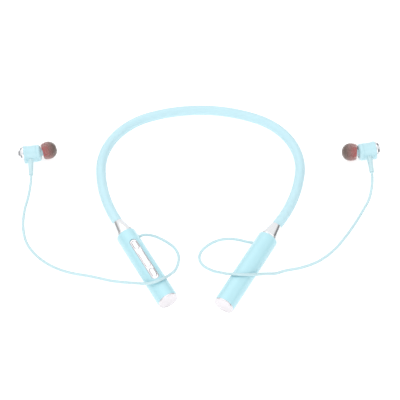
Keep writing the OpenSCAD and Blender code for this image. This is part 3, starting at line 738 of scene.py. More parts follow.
def tube_tree() -> bpy.types.GeometryNodeTree:
    """A hollow tube swept along a curve: an outer wall and an inner wall, open at both ends.

    Returns:
        The tree, with inputs Radius, Bore Radius and Sides in metres.
    """
    tree = new_tree(
        "swept_sleeve",
        {
            "Radius": ("NodeSocketFloat", 0.003),
            "Bore Radius": ("NodeSocketFloat", 0.0019),
            "Sides": ("NodeSocketInt", 32),
        },
    )
    start = add_node(tree, "NodeGroupInput")
    walls = []
    for label in ("Radius", "Bore Radius"):
        ring = add_node(
            tree,
            "GeometryNodeCurvePrimitiveCircle",
            links={"Radius": start.outputs[label], "Resolution": start.outputs["Sides"]},
        )
        path = start.outputs["Geometry"]
        if label == "Bore Radius":  # the bore keeps its radius where the ends are rounded
            path = add_node(tree, "GeometryNodeSetCurveRadius", {"Radius": 1.0}, {"Curve": path})
        walls.append(
            add_node(tree, "GeometryNodeCurveToMesh", links={"Curve": path, "Profile Curve": ring})
        )
    inner = add_node(tree, "GeometryNodeFlipFaces", links={"Mesh": walls[1]})
    both = add_node(tree, "GeometryNodeJoinGeometry")
    tree.links.new(walls[0].outputs[0], both.inputs[0])
    tree.links.new(inner.outputs[0], both.inputs[0])
    end_tree(tree, start, both.outputs[0])
    return tree


def weave_tree() -> bpy.types.GeometryNodeTree:
    """A round patch of crossing wires in the YZ plane, each wire as long as the circle is wide there.

    Returns:
        The tree, with inputs Radius, Pitch and Wire in metres, and Count.
    """
    tree = new_tree(
        "nozzle_screen",
        {
            "Radius": ("NodeSocketFloat", 0.0018),
            "Pitch": ("NodeSocketFloat", 0.0003),
            "Wire": ("NodeSocketFloat", 0.00006),
            "Count": ("NodeSocketInt", 11),
        },
    )
    start = add_node(tree, "NodeGroupInput")
    size, pitch = start.outputs["Radius"], start.outputs["Pitch"]
    less = add_node(tree, "ShaderNodeMath", {1: 1.0}, {0: start.outputs["Count"]}, operation="SUBTRACT")
    span = add_node(tree, "ShaderNodeMath", links={0: less, 1: pitch}, operation="MULTIPLY")
    edge = add_node(tree, "ShaderNodeMath", {1: -0.5}, {0: span}, operation="MULTIPLY")
    first = add_node(tree, "ShaderNodeCombineXYZ", links={"Y": edge})
    step = add_node(tree, "ShaderNodeCombineXYZ", links={"Y": pitch})
    line = add_node(
        tree,
        "GeometryNodeMeshLine",
        links={"Count": start.outputs["Count"], "Start Location": first, "Offset": step},
    )
    where = add_node(tree, "GeometryNodeInputPosition")
    across = add_node(tree, "ShaderNodeSeparateXYZ", links={0: where})
    squares = [
        add_node(tree, "ShaderNodeMath", links={0: s, 1: s}, operation="MULTIPLY")
        for s in (size, across.outputs["Y"])
    ]
    left = add_node(tree, "ShaderNodeMath", links={0: squares[0], 1: squares[1]}, operation="SUBTRACT")
    chord = add_node(tree, "ShaderNodeMath", links={0: left}, operation="SQRT")
    long = add_node(tree, "ShaderNodeCombineXYZ", {"X": 1.0, "Y": 1.0}, {"Z": chord})
    bar = add_node(tree, "GeometryNodeCurvePrimitiveLine", {"Start": (0, 0, -1.0), "End": (0, 0, 1.0)})
    ring = add_node(
        tree, "GeometryNodeCurvePrimitiveCircle", {"Resolution": 6}, {"Radius": start.outputs["Wire"]}
    )
    wire = add_node(
        tree, "GeometryNodeCurveToMesh", {"Fill Caps": True}, {"Curve": bar, "Profile Curve": ring}
    )
    rows = add_node(
        tree, "GeometryNodeInstanceOnPoints", links={"Points": line, "Instance": wire, "Scale": long}
    )
    lift = add_node(tree, "ShaderNodeCombineXYZ", links={"X": start.outputs["Wire"]})
    columns = add_node(
        tree,
        "GeometryNodeTransform",
        {"Rotation": (math.pi / 2, 0, 0)},
        {"Geometry": rows, "Translation": lift},
    )
    both = add_node(tree, "GeometryNodeJoinGeometry")
    tree.links.new(rows.outputs[0], both.inputs[0])
    tree.links.new(columns.outputs[0], both.inputs[0])
    end_tree(tree, start, both.outputs[0])
    return tree


# ---------------------------------------------------------------- neckband


@dataclass
class Neckband:
    """The silicone sleeve that joins the sticks, with a bore for the wire and the cable.

    Its end turns are the angles, in degrees, at which the rounding of its ends is drawn.
    """

    radius: float = 3.3
    bore_radius: float = 1.9
    back_y: float = 78.4
    back_bend: float = 96.0
    back_angle: float = 23.0
    shoulder_bend: float = 47.0
    shoulder_angle: float = 72.0
    side_bend: float = 95.0
    splay: float = 31.0
    end_length: float = 5.0
    stick_height: float = 6.5
    sides: int = 32
    end_turns: tuple[int, ...] = (10, 20, 30, 40, 45)

    def half_path(self) -> Outline:
        """The right half of the centreline in the band's own plane.

        Returns:
            Points from the middle of the back to the collar mouth, in millimetres.
        """
        first = 90 - self.back_angle
        second = first - self.shoulder_angle
        turns = (
            (self.back_bend, 90.0, first, 24),
            (self.shoulder_bend, first, second, 60),
            (self.side_bend, second, -self.splay, 36),
        )
        points: Outline = []
        end = Vector((0.0, 0.0))
        for bend, start, stop, steps in turns:
            centre = end - bend * self._arm(start)
            for k in range(steps):
                points.append(tuple(centre + bend * self._arm(start + (stop - start) * k / steps)))
            end = centre + bend * self._arm(stop)
        ahead = self.heading()
        points += [tuple(end), tuple(end + self.end_length * ahead)]
        return points

    def heading(self) -> Vector:
        """The way the right end of the band points, in its own plane."""
        return Vector((-math.sin(math.radians(self.splay)), -math.cos(math.radians(self.splay))))

    @staticmethod
    def _arm(angle: float) -> Vector:
        """The unit vector at an angle in degrees."""
        return Vector((math.cos(math.radians(angle)), math.sin(math.radians(angle))))

    def build(self) -> bpy.types.Object:
        """Makes the sleeve, with rounded ends that turn in the collars' cups.

        Returns:
            The sleeve.
        """
        half = self.half_path()
        last = Vector(half[-1])
        lean = math.asin((self.stick_height - self.radius) / last.y)
        turns = [math.radians(a) for a in self.end_turns]
        tail = [last + self.heading() * self.radius * math.sin(t) for t in turns]
        widths = [1.0] * len(half) + [math.cos(t) for t in turns]
        right = [tuple(p) for p in half] + [tuple(p) for p in tail]
        points = [(-x, y) for x, y in reversed(right[1:])] + right
        widths = list(reversed(widths[1:])) + widths
        curve = bpy.data.curves.new("sleeve_path", "CURVE")
        curve.dimensions = "3D"
        spline = curve.splines.new("POLY")
        spline.points.add(len(points) - 1)
        for spot, (x, y), width in zip(spline.points, points, widths):
            place = (x, self.back_y + y * math.cos(lean), self.radius + y * math.sin(lean))
            spot.co = (*(c * MM for c in place), 1.0)
            spot.radius = width
        path = bpy.data.objects.new("sleeve_path", curve)
        bpy.context.scene.collection.objects.link(path)
        sizes = {"Radius": self.radius * MM, "Bore Radius": self.bore_radius * MM, "Sides": self.sides}
        sleeve = run_tree(path, tube_tree(), {**sizes, "Finish": BAND_SILICONE.build()}, "band_sleeve")
        self._close_ends(sleeve)
        return sleeve

    def _close_ends(self, sleeve: bpy.types.Object) -> None:
        """Joins the outer and inner walls at both ends.

        Args:
            sleeve: the swept sleeve, open at its ends.
        """
        with opened(sleeve) as bm:
            for side in Side:
                rim = [e for e in bm.edges if e.is_boundary and e.verts[0].co.x * side.value > 0]
                bmesh.ops.bridge_loops(bm, edges=rim)

    def dress(self) -> None:
        """Puts the sleeve in the frame in place of its plain node."""
        seat(self.build(), "neckband", "band_silicone", "neckband_sleeve")


def seat(piece: bpy.types.Object, body: str, slot: str, *nodes: str) -> bpy.types.Object:
    """Gives a finished piece its body, hides the plain nodes that it stands for, and reports it.

    Args:
        piece: the finished piece.
        body: the body that it rides on.
        slot: the record's material slot. Not used.
        nodes: the plain nodes that it stands for.

    Returns:
        The piece.
    """
    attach(piece, body)
    if nodes:
        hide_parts(*nodes)
    log.info("%s rides on %s and stands for %s", piece.name, body, ", ".join(nodes) or "nothing")
    return piece


# ---------------------------------------------------------------- sticks

# A tool that cuts a hole in a wall starts inside the shell and ends well outside it.
INSIDE, THROUGH = 3.0, 6.0
ABOVE = 9.0  # a height that is clear of the stick, where the tools that cut from the top end


@dataclass
class Stick:
    """One stick: collar, barrel, end cap and cord grommet, along +X from the collar mouth."""

    side: Side
    radius: float = 6.5
    bore_radius: float = 5.45
    splay: float = 32.0
    collar_length: float = 11.0
    barrel_end: float = 66.2
    cap_thickness: float = 1.0
    cap_radius: float = 6.4
    mouth_radius: float = 4.0
    collar_radius: float = 6.2
    cup_radius: float = 3.45
    spigot_depth: float = 3.2
    spigot_radius: float = 4.45
    wire_hole: float = 1.6
    wire_hole_end: float = 5.0
    cord_exit: float = 16.0
    exit_drop: float = 0.0
    grommet_radius: float = 1.5
    grommet_face: float = 7.0
    sides: int = 96

    @property
    def body(self) -> str:
        """The body that the stick's own pieces ride on."""
        return f"{self.side.word}_stick"

    @property
    def place(self) -> Matrix:
        """The stick's own frame, from the collar mouth, which the frame's joint gives.

        Returns:
            Where it lies, in millimetres.
        """
        joint = next(j for j in frame["joints"] if j["name"] == f"{self.side.word}_stick_flex")
        mouth = self.side.mirror @ (Vector(joint["pos_m"]) / MM)
        turn = Matrix.Rotation(math.radians(self.splay - 90), 4, "Z")
        return self.side.mirror @ Matrix.Translation(mouth) @ turn

    @property
    def exit_frame(self) -> Matrix:
        """The frame of the cord's exit: +X points straight out of the barrel's wall.

        Returns:
            Where it lies in the stick's own frame.
        """
        drop = Matrix.Rotation(math.radians(-self.exit_drop), 4, "X")
        out = Matrix.Rotation(math.radians(90), 4, "Z")
        return Matrix.Translation((self.cord_exit, 0, 0)) @ drop @ out

    def collar(self) -> bpy.types.Object:
        """The tapered metallised collar, with a fine groove before the barrel and a cup for the band.

        Returns:
            The collar.
        """
        length, end = self.collar_length, self.collar_length + self.spigot_depth
        wide, inner, hole = self.collar_radius, self.spigot_radius, self.wire_hole
        outer = fillet(
            [
                (0.0, self.cup_radius, 0),
                (0.0, self.mouth_radius, 0.22),
                (length - 0.95, wide - 0.12, 0.3),
                (length - 0.75, wide - 0.3, 0.05),
                (length - 0.55, wide - 0.05, 0.05),
                (length - 0.1, wide, 0.1),
                (length, wide - 0.15, 0),
            ]
        )
        hidden = [(length, self.bore_radius), (end, self.bore_radius), (end, inner), (length, inner)]
        hidden.append((self.wire_hole_end, hole))
        start = math.atan2(hole, math.sqrt(self.cup_radius**2 - hole**2))
        steps = 8
        cup = []
        for k in range(steps):
            angle = start + (math.pi / 2 - start) * k / steps
            cup.append((self.cup_radius * math.cos(angle), self.cup_radius * math.sin(angle)))
        name = f"{self.side.word}_collar_shell"
        return turned(name, outer + hidden + cup, self.place, COLLAR_SILVER.build(), self.sides)

    def barrel(self) -> bpy.types.Object:
        """The moulded barrel with rounded rims and the hole for the cord's grommet.

        Returns:
            The barrel, in the stick's own frame.
        """
        outline = fillet(
            [
                (self.collar_length, self.bore_radius + 0.3, 0),
                (self.collar_length, self.radius, 0.3),
                (self.barrel_end, self.radius, 0.25),
                (self.barrel_end, self.bore_radius, 0.05),
                (self.collar_length, self.bore_radius, 0),
            ]
        )
        name = f"{self.side.word}_barrel_shell"
        shell = turned(name, outline, Matrix.Identity(4), STICK_ABS.build(), self.sides)
        hole = rod(self.grommet_radius, INSIDE, THROUGH, 40)
        carve(shell, [finish_mesh("hole", hole, self.exit_frame, STICK_ABS.build())])
        return shell

    def cap(self) -> bpy.types.Object:
        """The end cap: a rounded rim round a shallow disc, and a spigot in the barrel.

        Returns:
            The cap.
        """
        start, end, rim = self.barrel_end, self.barrel_end + self.cap_thickness, self.cap_radius
        back = start - self.spigot_depth
        outline = [(start, 0.0), (start, self.spigot_radius), (back, self.spigot_radius)]
        outline += [(back, self.bore_radius), (start, self.bore_radius)]
        outline += fillet(
            [
                (start + 0.02, self.bore_radius, 0),
                (start + 0.02, rim, 0.06),
                (end, rim, 0.45),
                (end, rim - 0.85, 0.12),
                (end - 0.16, rim - 1.0, 0.12),
                (end - 0.12, 0.0, 0),
            ]
        )
        name = f"{self.side.word}_end_cap_disc"
        return turned(name, outline, self.place, CAP_PEARL.build(), self.sides, closed=False)

    def grommet(self) -> bpy.types.Object:
        """The soft grommet that the cord leaves through, held by a flange behind the wall.

        Returns:
            The grommet.
        """
        radius, face, wall = self.grommet_radius - 0.02, self.grommet_face, self.bore_radius
        flange = radius + 0.3
        outline = fillet(
            [
                (wall - 1.2, 0.0, 0),
                (wall - 1.2, flange, 0.1),
                (wall - 0.4, flange, 0.1),
                (wall - 0.4, radius, 0.05),
                (face, radius, 0.32),
                (face, 0.0, 0),
            ]
        )
        name = f"{self.side.word}_cord_grommet_cuff"
        return turned(name, outline, self.place @ self.exit_frame, CORD_TPE.build(), 40, closed=False)

    def finish_barrel(self) -> bpy.types.Object:
        """The barrel in its place in the row frame, with nothing more cut from it."""
        return self._settled(self.barrel())

    def _settled(self, shell: bpy.types.Object) -> bpy.types.Object:
        """Moves a shell made at the stick's own origin to its place.

        Args:
            shell: a shell in the stick's own frame, in metres.

        Returns:
            The shell.
        """
        with opened(shell) as bm:
            bm.transform(in_metres(self.place))
        return shell

    def dress(self) -> None:
        """Puts the stick's pieces in the frame in place of their plain nodes."""
        word = self.side.word
        seat(self.collar(), self.body, "silver_collar", f"{word}_collar")
        seat(self.finish_barrel(), self.body, "stick_plastic", f"{word}_barrel")
        seat(self.cap(), self.body, "cap_plastic", f"{word}_end_cap")
        seat(self.grommet(), self.body, "cord_rubber", f"{word}_cord_grommet")


@dataclass
class Key:
    """One key: where it starts along the stick, how long it is, its dish and its edge's bevel.

    A dish of less than nothing is a crown.
    """

    name: str
    node: str
    body: str
    start: float
    length: float
    dish: float
    edge: float


@dataclass
class ControlStick(Stick):
    """The left stick, which also carries the control strip, its keys and the charging opening.

    The strip's edge is drawn as (inset from its outline, drop below its top) steps. The ports, the
    microphone's and the status light's, are each (distance along the stick, radius).
    """

    side: Side = Side.LEFT
    panel_start: float = 19.5
    panel_length: float = 33.5
    panel_width: float = 5.0
    panel_floor: float = 5.3
    panel_height: float = 6.35
    panel_gap: float = 0.05
    panel_edge: Pairs = ((0.0, 0.4), (0.08, 0.29), (0.56, 0.03), (0.64, 0.0))
    saddle_reach: float = 1.2
    saddle_side: float = 0.8
    saddle_floor: float = 4.45
    well_inset: float = 0.3
    well_side: float = 0.5
    well_floor: float = 3.4
    key_gap: float = 0.08
    key_width: float = 3.4
    key_rise: float = 0.35
    flange: float = 0.45
    flange_top: float = 5.25
    flange_depth: float = 0.5
    post_radius: float = 1.0
    post_floor: float = 2.7
    usb_middle: float = 50.0
    usb_length: float = 8.9
    usb_height: float = 3.2
    usb_drop: float = -2.0
    usb_gap: float = 0.15
    usb_start: float = 2.0
    ports: Pairs = ((36.0, 0.5), (41.0, 0.6))
    keys: tuple[Key, ...] = (
        Key("volume_up_key_cap", "volume_up_key", "volume_up_button", 21.1, 7.0, 0.12, 0.48),
        Key("main_key_cap", "main_key", "main_button", 29.5, 13.5, -0.12, 0.2),
        Key("volume_down_key_cap", "volume_down_key", "volume_down_button", 44.4, 7.0, 0.12, 0.48),
    )

    def finish_barrel(self) -> bpy.types.Object:
        """The barrel with the strip's seat, the charging opening and the two small ports.

        Returns:
            The barrel, in its place.
        """
        shell = carve(self.barrel(), [self._saddle()], Cut.JOIN)
        start, length, inset = self.panel_start, self.panel_length, self.well_inset
        well = self.key_width + 2 * self.well_side
        tools = [
            self._plate(start, length, self.panel_width, self.panel_floor),
            self._plate(start + inset, length - 2 * inset, well, self.well_floor),
        ]
        gap = 2 * self.usb_gap
        start = self.usb_middle - self.usb_length / 2 - self.usb_gap
        port = bmesh.new()
        stack(port, start, self.usb_length + gap, self.usb_height + gap, [(0.0, 0.0), (0.0, THROUGH)])
        side_on = Matrix.Translation((0, self.usb_start, self.usb_drop))
        side_on = side_on @ Matrix.Rotation(math.radians(-90), 4, "X")
        tools.append(finish_mesh("port", port, side_on, STICK_ABS.build()))
        outwards = Matrix.Rotation(math.radians(90), 4, "Z")
        for where, size in self.ports:
            bore = rod(size, self.usb_start, THROUGH, 24)
            out = Matrix.Translation((where, 0, self.usb_drop)) @ outwards
            tools.append(finish_mesh("port", bore, out, STICK_ABS.build()))
        return self._settled(carve(shell, tools))

    def _saddle(self) -> bpy.types.Object:
        """The thickening under the strip: what a block keeps of a rod just inside the barrel's skin.

        Returns:
            The saddle, in the stick's own frame.
        """
        start, length = self.panel_start - self.saddle_reach, self.panel_length + 2 * self.saddle_reach
        width, low = self.panel_width + 2 * self.saddle_side, self.saddle_floor
        bm = bmesh.new()
        bmesh.ops.create_cube(bm, size=1.0)
        bm.transform(
            Matrix.Translation((start + length / 2, 0, (low + ABOVE) / 2))
            @ Matrix.Diagonal((length, width, ABOVE - low, 1))
        )
        block = finish_mesh("block", bm, Matrix.Identity(4), STICK_ABS.build())
        bulk = rod(self.radius - 0.2, start, length, 96)
        saddle = finish_mesh("saddle", bulk, Matrix.Identity(4), STICK_ABS.build())
        return carve(saddle, [block], Cut.KEEP)

    def _plate(self, start: float, length: float, width: float, low: float) -> bpy.types.Object:
        """A plain plate with round ends, for cutting from the top with, in the stick's own frame.

        Args:
            start: where it begins along the stick.
            length: its whole length.
            width: its width.
            low: the height of its underside.

        Returns:
            The plate.
        """
        bm = bmesh.new()
        stack(bm, start, length, width, [(0.0, low), (0.0, ABOVE)])
        return finish_mesh("plate", bm, Matrix.Identity(4), STICK_ABS.build())

    def panel(self) -> bpy.types.Object:
        """The silver strip, with a bevelled edge and a hole for each key.

        Returns:
            The strip.
        """
        gap = self.panel_gap
        length, width = self.panel_length - 2 * gap, self.panel_width - 2 * gap
        layers = [(0.0, self.panel_floor)]
        layers += [(inset, self.panel_height - drop) for inset, drop in self.panel_edge]
        bm = bmesh.new()
        stack(bm, self.panel_start + gap, length, width, layers)
        strip = finish_mesh("control_strip", bm, Matrix.Identity(4), PANEL_SILVER.build())
        holes = [self._plate(k.start, k.length, self.key_width, self.saddle_floor) for k in self.keys]
        return self._settled(carve(strip, holes))

    def key(self, key: Key) -> bpy.types.Object:
        """One key: a post and a flange below, and a cap with a rounded edge and a dished or crowned top.

        Args:
            key: which key.

        Returns:
            The key's piece.
        """
        gap, edge = self.key_gap, key.edge
        top, width = self.panel_height + self.key_rise, self.key_width - 2 * gap
        reach = self.flange + gap
        under = self.flange_top - self.flange_depth
        layers = [(-reach, under), (-reach, self.flange_top), (0.0, self.flange_top)]
        layers += [(0.0, top - edge - 0.05), (0.03, top - edge), (edge, top - 0.03), (edge + 0.1, top)]
        span, rings = width / 2 - edge - 0.13, 9
        for k in range(1, rings):
            t = k / rings
            layers.append((edge + 0.1 + span * t, top - key.dish * (1 - (1 - t) ** 2)))
        bm = bmesh.new()
        stack(bm, key.start + gap, key.length - 2 * gap, width, layers)
        cap = finish_mesh(key.name, bm, Matrix.Identity(4), KEY_SILVER.build())
        post = rod(self.post_radius, self.post_floor, under - self.post_floor + 0.1, 32)
        upright = Matrix.Translation((key.start + key.length / 2, 0, 0))
        upright = upright @ Matrix.Rotation(math.radians(-90), 4, "Y")
        carve(cap, [finish_mesh("post", post, upright, KEY_SILVER.build())], Cut.JOIN)
        return self._settled(cap)

    def dress(self) -> None:
        """Puts the left stick's pieces, its strip and its keys in the frame."""
        super().dress()
        seat(self.panel(), self.body, "panel_plastic", "control_panel")
        for key in self.keys:
            seat(self.key(key), key.body, "key_plastic", key.node)


# ---------------------------------------------------------------- earbuds


@dataclass
class Earbud:
    """One earbud along its own +X, from its back to its tip, with the cord leaving along -Y."""

    side: Side
    spot: tuple[float, float]
    turn: float
    boot_lean: float
    height: float = 6.25
    radius: float = 5.75
    flare_radius: float = 6.2
    length: float = 11.3
    wall: float = 0.9
    cap_depth: float = 4.7
    cap_seat: float = 5.0
    magnet_radius: float = 4.1
    magnet_back: float = -2.5
    nozzle_root: float = 10.4
    nozzle_tilt: float = 12.0
    nozzle_radius: float = 2.5
    nozzle_bore: float = 1.8
    nozzle_length: float = 6.0
    tip_radius: float = 6.0
    tip_centre: float = 5.867
    tip_back: float = 1.967
    tip_wall: float = 0.6
    skirt_draw: float = 0.8
    tip_hole: float = 1.9
    neck_back: float = 6.1
    core_radius: float = 3.3
    core_bore: float = 2.65
    boot_offset: float = 4.2
    boot_length: float = 12.2
    boot_root: float = 1.8
    boot_end: float = 1.5
    screen_pitch: float = 0.3
    screen_wire: float = 0.07
    screen_count: int = 11
    vent_radius: float = 0.4
    vent_place: float = 9.3
    joint_line: float = 8.1

    @property
    def place(self) -> Matrix:
        """The earbud's own frame in the row frame."""
        spin = Matrix.Rotation(math.radians(self.turn), 4, "Z")
        return self.side.mirror @ (Matrix.Translation((*self.spot, self.height)) @ spin)

    @property
    def nozzle_place(self) -> Matrix:
        """The frame of the tilted nozzle."""
        tilt = Matrix.Rotation(math.radians(self.nozzle_tilt), 4, "Z")
        return self.place @ Matrix.Translation((self.nozzle_root, 0, 0)) @ tilt

    @property
    def boot_frame(self) -> Matrix:
        """The frame of the cord's exit: +X points out of the housing along the cord."""
        out = Matrix.Rotation(math.radians(self.boot_lean - 90), 4, "Z")
        return Matrix.Translation((self.boot_offset, 0, 0)) @ out

    def housing(self) -> bpy.types.Object:
        """The lacquered shell: flared at the back, with a fine joint line before its rounded front.

        Returns:
            The housing's shell.
        """
        r, f, end, joint = self.radius, self.flare_radius, self.length, self.joint_line
        inner = r - self.wall
        outline = fillet(
            [
                (0.0, self.cap_seat, 0),
                (0.0, f - 0.02, 0.15),
                (0.8, f, 0.5),
                (2.6, r, 1.6),
                (joint, r, 0),
                (joint + 0.15, r - 0.2, 0.05),
                (joint + 0.3, r, 0),
                (end - 1.0, r - 0.02, 1.6),
                (end, r - 1.5, 0.9),
                (end, self.nozzle_bore, 0),
            ],
            8,
        )
        outline += [(end - 2.0, self.nozzle_bore), (end - 2.0, inner)]
        outline += [(1.6, inner), (1.6, self.cap_seat)]
        name = f"{self.side.word}_housing_shell"
        shell = turned(name, outline, self.place, HOUSING_ABS.build(), 80)
        bore = rod(self.boot_root - 0.5, INSIDE, THROUGH, 32)
        vent = rod(self.vent_radius, INSIDE, THROUGH, 16)
        low = Matrix.Translation((self.vent_place, 0, 0)) @ Matrix.Rotation(math.radians(6), 4, "X")
        low = low @ Matrix.Rotation(math.radians(-90), 4, "Z")
        tools = [
            finish_mesh("bore", bore, self.place @ self.boot_frame, HOUSING_ABS.build()),
            finish_mesh("vent", vent, self.place @ low, HOUSING_ABS.build()),
        ]
        return carve(shell, tools)

    def nozzle(self) -> bpy.types.Object:
        """The tilted nozzle with the lip that holds the tip.

        Returns:
            The nozzle.
        """
        r, end = self.nozzle_radius, self.nozzle_length
        lip = r + 0.1
        outline = fillet(
            [
                (-0.6, self.nozzle_bore, 0),
                (-0.6, r, 0),
                (end - 1.3, r, 0.05),
                (end - 1.15, lip, 0.05),
                (end - 0.35, lip, 0.1),
                (end, r - 0.15, 0.1),
                (end, self.nozzle_bore, 0),
            ]
        )
        name = f"{self.side.word}_nozzle_tube"
        return turned(name, outline, self.nozzle_place, HOUSING_ABS.build(), 56)

    def screen(self) -> bpy.types.Object:
        """The woven wire screen in the mouth of the nozzle.

        Returns:
            The screen.
        """
        seed = bpy.data.objects.new("screen_seed", bpy.data.meshes.new("screen_seed"))
        bpy.context.scene.collection.objects.link(seed)
        # a real screen has a wire every 0.1 mm; it is drawn at 0.3 mm so that its weave shows
        values = {
            "Radius": (self.nozzle_bore - 0.04) * MM,
            "Pitch": self.screen_pitch * MM,
            "Wire": self.screen_wire * MM,
            "Count": self.screen_count,
            "Finish": FINE_MESH.build(),
        }
        piece = run_tree(seed, weave_tree(), values, f"{self.side.word}_nozzle_screen")
        mouth = Matrix.Translation((self.nozzle_length - 0.4, 0, 0))
        with opened(piece) as bm:
            bm.transform(in_metres(self.nozzle_place @ mouth))
        return piece

    def back_cap(self) -> bpy.types.Object:
        """The polished cap: a rim and three soft facets round a flat middle, hollow for its magnet.

        Returns:
            The cap.
        """
        rim, deep, seat_end = self.flare_radius - 0.2, self.cap_depth, 1.45
        magnet, plug = self.magnet_radius, self.cap_seat - 0.02
        outline = [(self.magnet_back, 0.0), (self.magnet_back, magnet), (seat_end, magnet)]
        outline += [(seat_end, plug), (-0.02, plug)]
        outline += fillet(
            [
                (-0.02, rim - 0.6, 0),
                (-0.02, rim, 0.1),
                (-0.8, rim, 0.3),
                (-2.1, 5.33, 0.3),
                (-3.5, 4.08, 0.35),
                (-deep, 2.1, 0.5),
                (-deep, 0.0, 0),
            ],
            6,
        )
        name = f"{self.side.word}_back_cap_mirror"
        return turned(name, outline, self.place, CHROME.build(), 80, closed=False)

    def boot(self) -> bpy.types.Object:
        """The tapered strain relief, with a soft foot at the housing and a rounded lip at the cord.

        Returns:
            The strain relief.
        """
        r, tip, plug = self.radius, self.radius + self.boot_length, self.boot_root - 0.52
        outline = fillet(
            [
                (r - 1.0, 0.0, 0),
                (r - 1.0, plug, 0),
                (r - 0.25, plug, 0),
                (r - 0.25, self.boot_root + 0.12, 0.1),
                (r + 0.7, self.boot_root, 0.8),
                (tip - 0.9, self.boot_end + 0.04, 0.4),
                (tip - 0.55, self.boot_end + 0.1, 0.15),
                (tip, self.boot_end, 0.3),
                (tip, 0.92, 0.1),
                (tip - 0.5, 0.0, 0),
            ]
        )
        name = f"{self.side.word}_strain_relief_boot"
        return turned(name, outline, self.place @ self.boot_frame, CORD_TPE.build(), 44, closed=False)

    def tip(self) -> tuple[bpy.types.Object, bpy.types.Object]:
        """The smoky skirt and the red core of the ear tip.

        Returns:
            The skirt and the core.
        """
        hole, neck = self.tip_hole, self.core_radius
        outer = self._skirt(self.tip_radius, hole + 0.25, 0.0)
        front = outer[-1][0]
        inner = self._skirt(self.tip_radius - self.tip_wall, neck, 0.04)
        bore = [(front + 0.02, hole + 0.08), (front - 0.15, hole), (self.neck_back, hole)]
        walls = outer + bore + [(self.neck_back, neck)] + inner[::-1]
        name = self.side.word
        skirt = turned(f"{name}_tip_skirt", walls, self.nozzle_place, TIP_GREY.build(), 72)
        self._mark_nose(skirt)
        core = fillet(
            [
                (self.tip_back, self.core_bore, 0),
                (self.tip_back, neck - 0.02, 0.25),
                (self.neck_back - 0.02, neck - 0.02, 0),
                (self.neck_back - 0.02, self.core_bore, 0),
            ]
        )
        plug = turned(f"{name}_tip_core_tube", core, self.nozzle_place, TIP_RED.build(), 56)
        return skirt, plug

    def _skirt(self, radius: float, hold: float, lift: float) -> Outline:
        """One wall of the skirt, from its open rim to where its nose ends.

        Args:
            radius: the wall's radius at its widest.
            hold: the radius where its nose ends.
            lift: how far its rim is set in from the skirt's back.

        Returns:
            The wall's outline.
        """
        span = self.tip_centre - self.tip_back
        points = []
        for t in (0.0, 0.06, 0.2, 0.4, 0.6, 0.8):
            along = self.tip_back + lift + (span - lift) * t
            points.append((along, radius - self.skirt_draw * (1 - t) ** 2))
        last = math.acos(hold / radius)
        steps = 18
        for k in range(steps + 1):
            angle = last * k / steps
            points.append((self.tip_centre + radius * math.sin(angle), radius * math.cos(angle)))
        return points

    def _mark_nose(self, skirt: bpy.types.Object) -> None:
        """Stores how near each point is to the tip's nose, from 0 at the rim to 1 at the front.

        Args:
            skirt: the skirt, in its place.
        """
        back = Vector((Matrix.Scale(MM, 4) @ self.nozzle_place) @ Vector((self.tip_back, 0, 0)))
        ahead = (self.nozzle_place.to_3x3() @ Vector((1, 0, 0))).normalized()
        span = (self.tip_centre + self.tip_radius - self.tip_back) * MM
        values = skirt.data.attributes.new("nose", "FLOAT", "POINT").data
        for value, vertex in zip(values, skirt.data.vertices):
            value.value = min(1.0, max(0.0, (vertex.co - back).dot(ahead) / span))

    def dress(self) -> None:
        """Puts the earbud's pieces in the frame in place of their plain nodes."""
        word = self.side.word
        body = f"{word}_stick"
        seat(self.housing(), body, "housing_paint", f"{word}_housing")
        seat(self.nozzle(), body, "housing_paint", f"{word}_housing")
        seat(self.screen(), body, "fine_mesh", f"{word}_nozzle_mesh")
        seat(self.back_cap(), body, "polished_chrome", f"{word}_back_cap")
        seat(self.boot(), body, "cord_rubber", f"{word}_strain_relief")
        skirt, core = self.tip()
        seat(skirt, f"{word}_ear_tip", "grey_silicone", f"{word}_tip_dome")
        seat(core, f"{word}_ear_tip", "red_silicone", f"{word}_tip_core")


# ---------------------------------------------------------------- cords

LIES = 0.9  # height of the cord's centre where it lies on the surface, in millimetres


@dataclass
class Cord:
    """One cord from a stick to its earbud, along the route's own points in millimetres."""

    side: Side
    start: Point
    finish: Point
    route: list[Point]
    leaves: Point
    enters: Point
    length: float
    radius: float = LIES
    tuck: float = 0.4

    def build(self) -> bpy.types.Object:
        """Makes the cord as one smooth curve.

        Returns:
            The curve piece.
        """
        out, into = Vector(self.leaves).normalized(), Vector(self.enters).normalized()
        points = [Vector(self.start) - out * self.tuck]
        points += [Vector(p) for p in self.route]
        points += [Vector(self.finish) + into * self.tuck]
        curve = bpy.data.curves.new(f"{self.side.word}_cord_line", "CURVE")
        curve.dimensions = "3D"
        curve.resolution_u = 8
        curve.bevel_depth = self.radius * MM
        curve.bevel_resolution = 5
        curve.use_fill_caps = True
        spline = curve.splines.new("BEZIER")
        spline.bezier_points.add(len(points) - 1)
        for i, (spot, point) in enumerate(zip(spline.bezier_points, points)):
            last, ahead = points[max(i - 1, 0)], points[min(i + 1, len(points) - 1)]
            reach = (ahead - last) / 6
            if i == 0:
                reach = out * (points[1] - points[0]).length / 3
            if i == len(points) - 1:
                reach = into * (points[-1] - points[-2]).length / 3
            spot.handle_left_type = spot.handle_right_type = "FREE"
            spot.co = point * MM
            spot.handle_left = self._rested(point - reach) * MM
            spot.handle_right = self._rested(point + reach) * MM
        return new_object(f"{self.side.word}_cord_line", curve, CORD_TPE.build())

    def _rested(self, point: Vector) -> Vector:
        """A handle kept from sinking below the cord's own radius."""
        return Vector((point.x, point.y, max(point.z, self.radius)))

    def dress(self) -> None:
        """Puts the cord in the frame in place of its plain tube, and says what it is."""
        word = self.side.word
        piece = seat(self.build(), f"{word}_stick", "cord_rubber", f"{word}_cord")


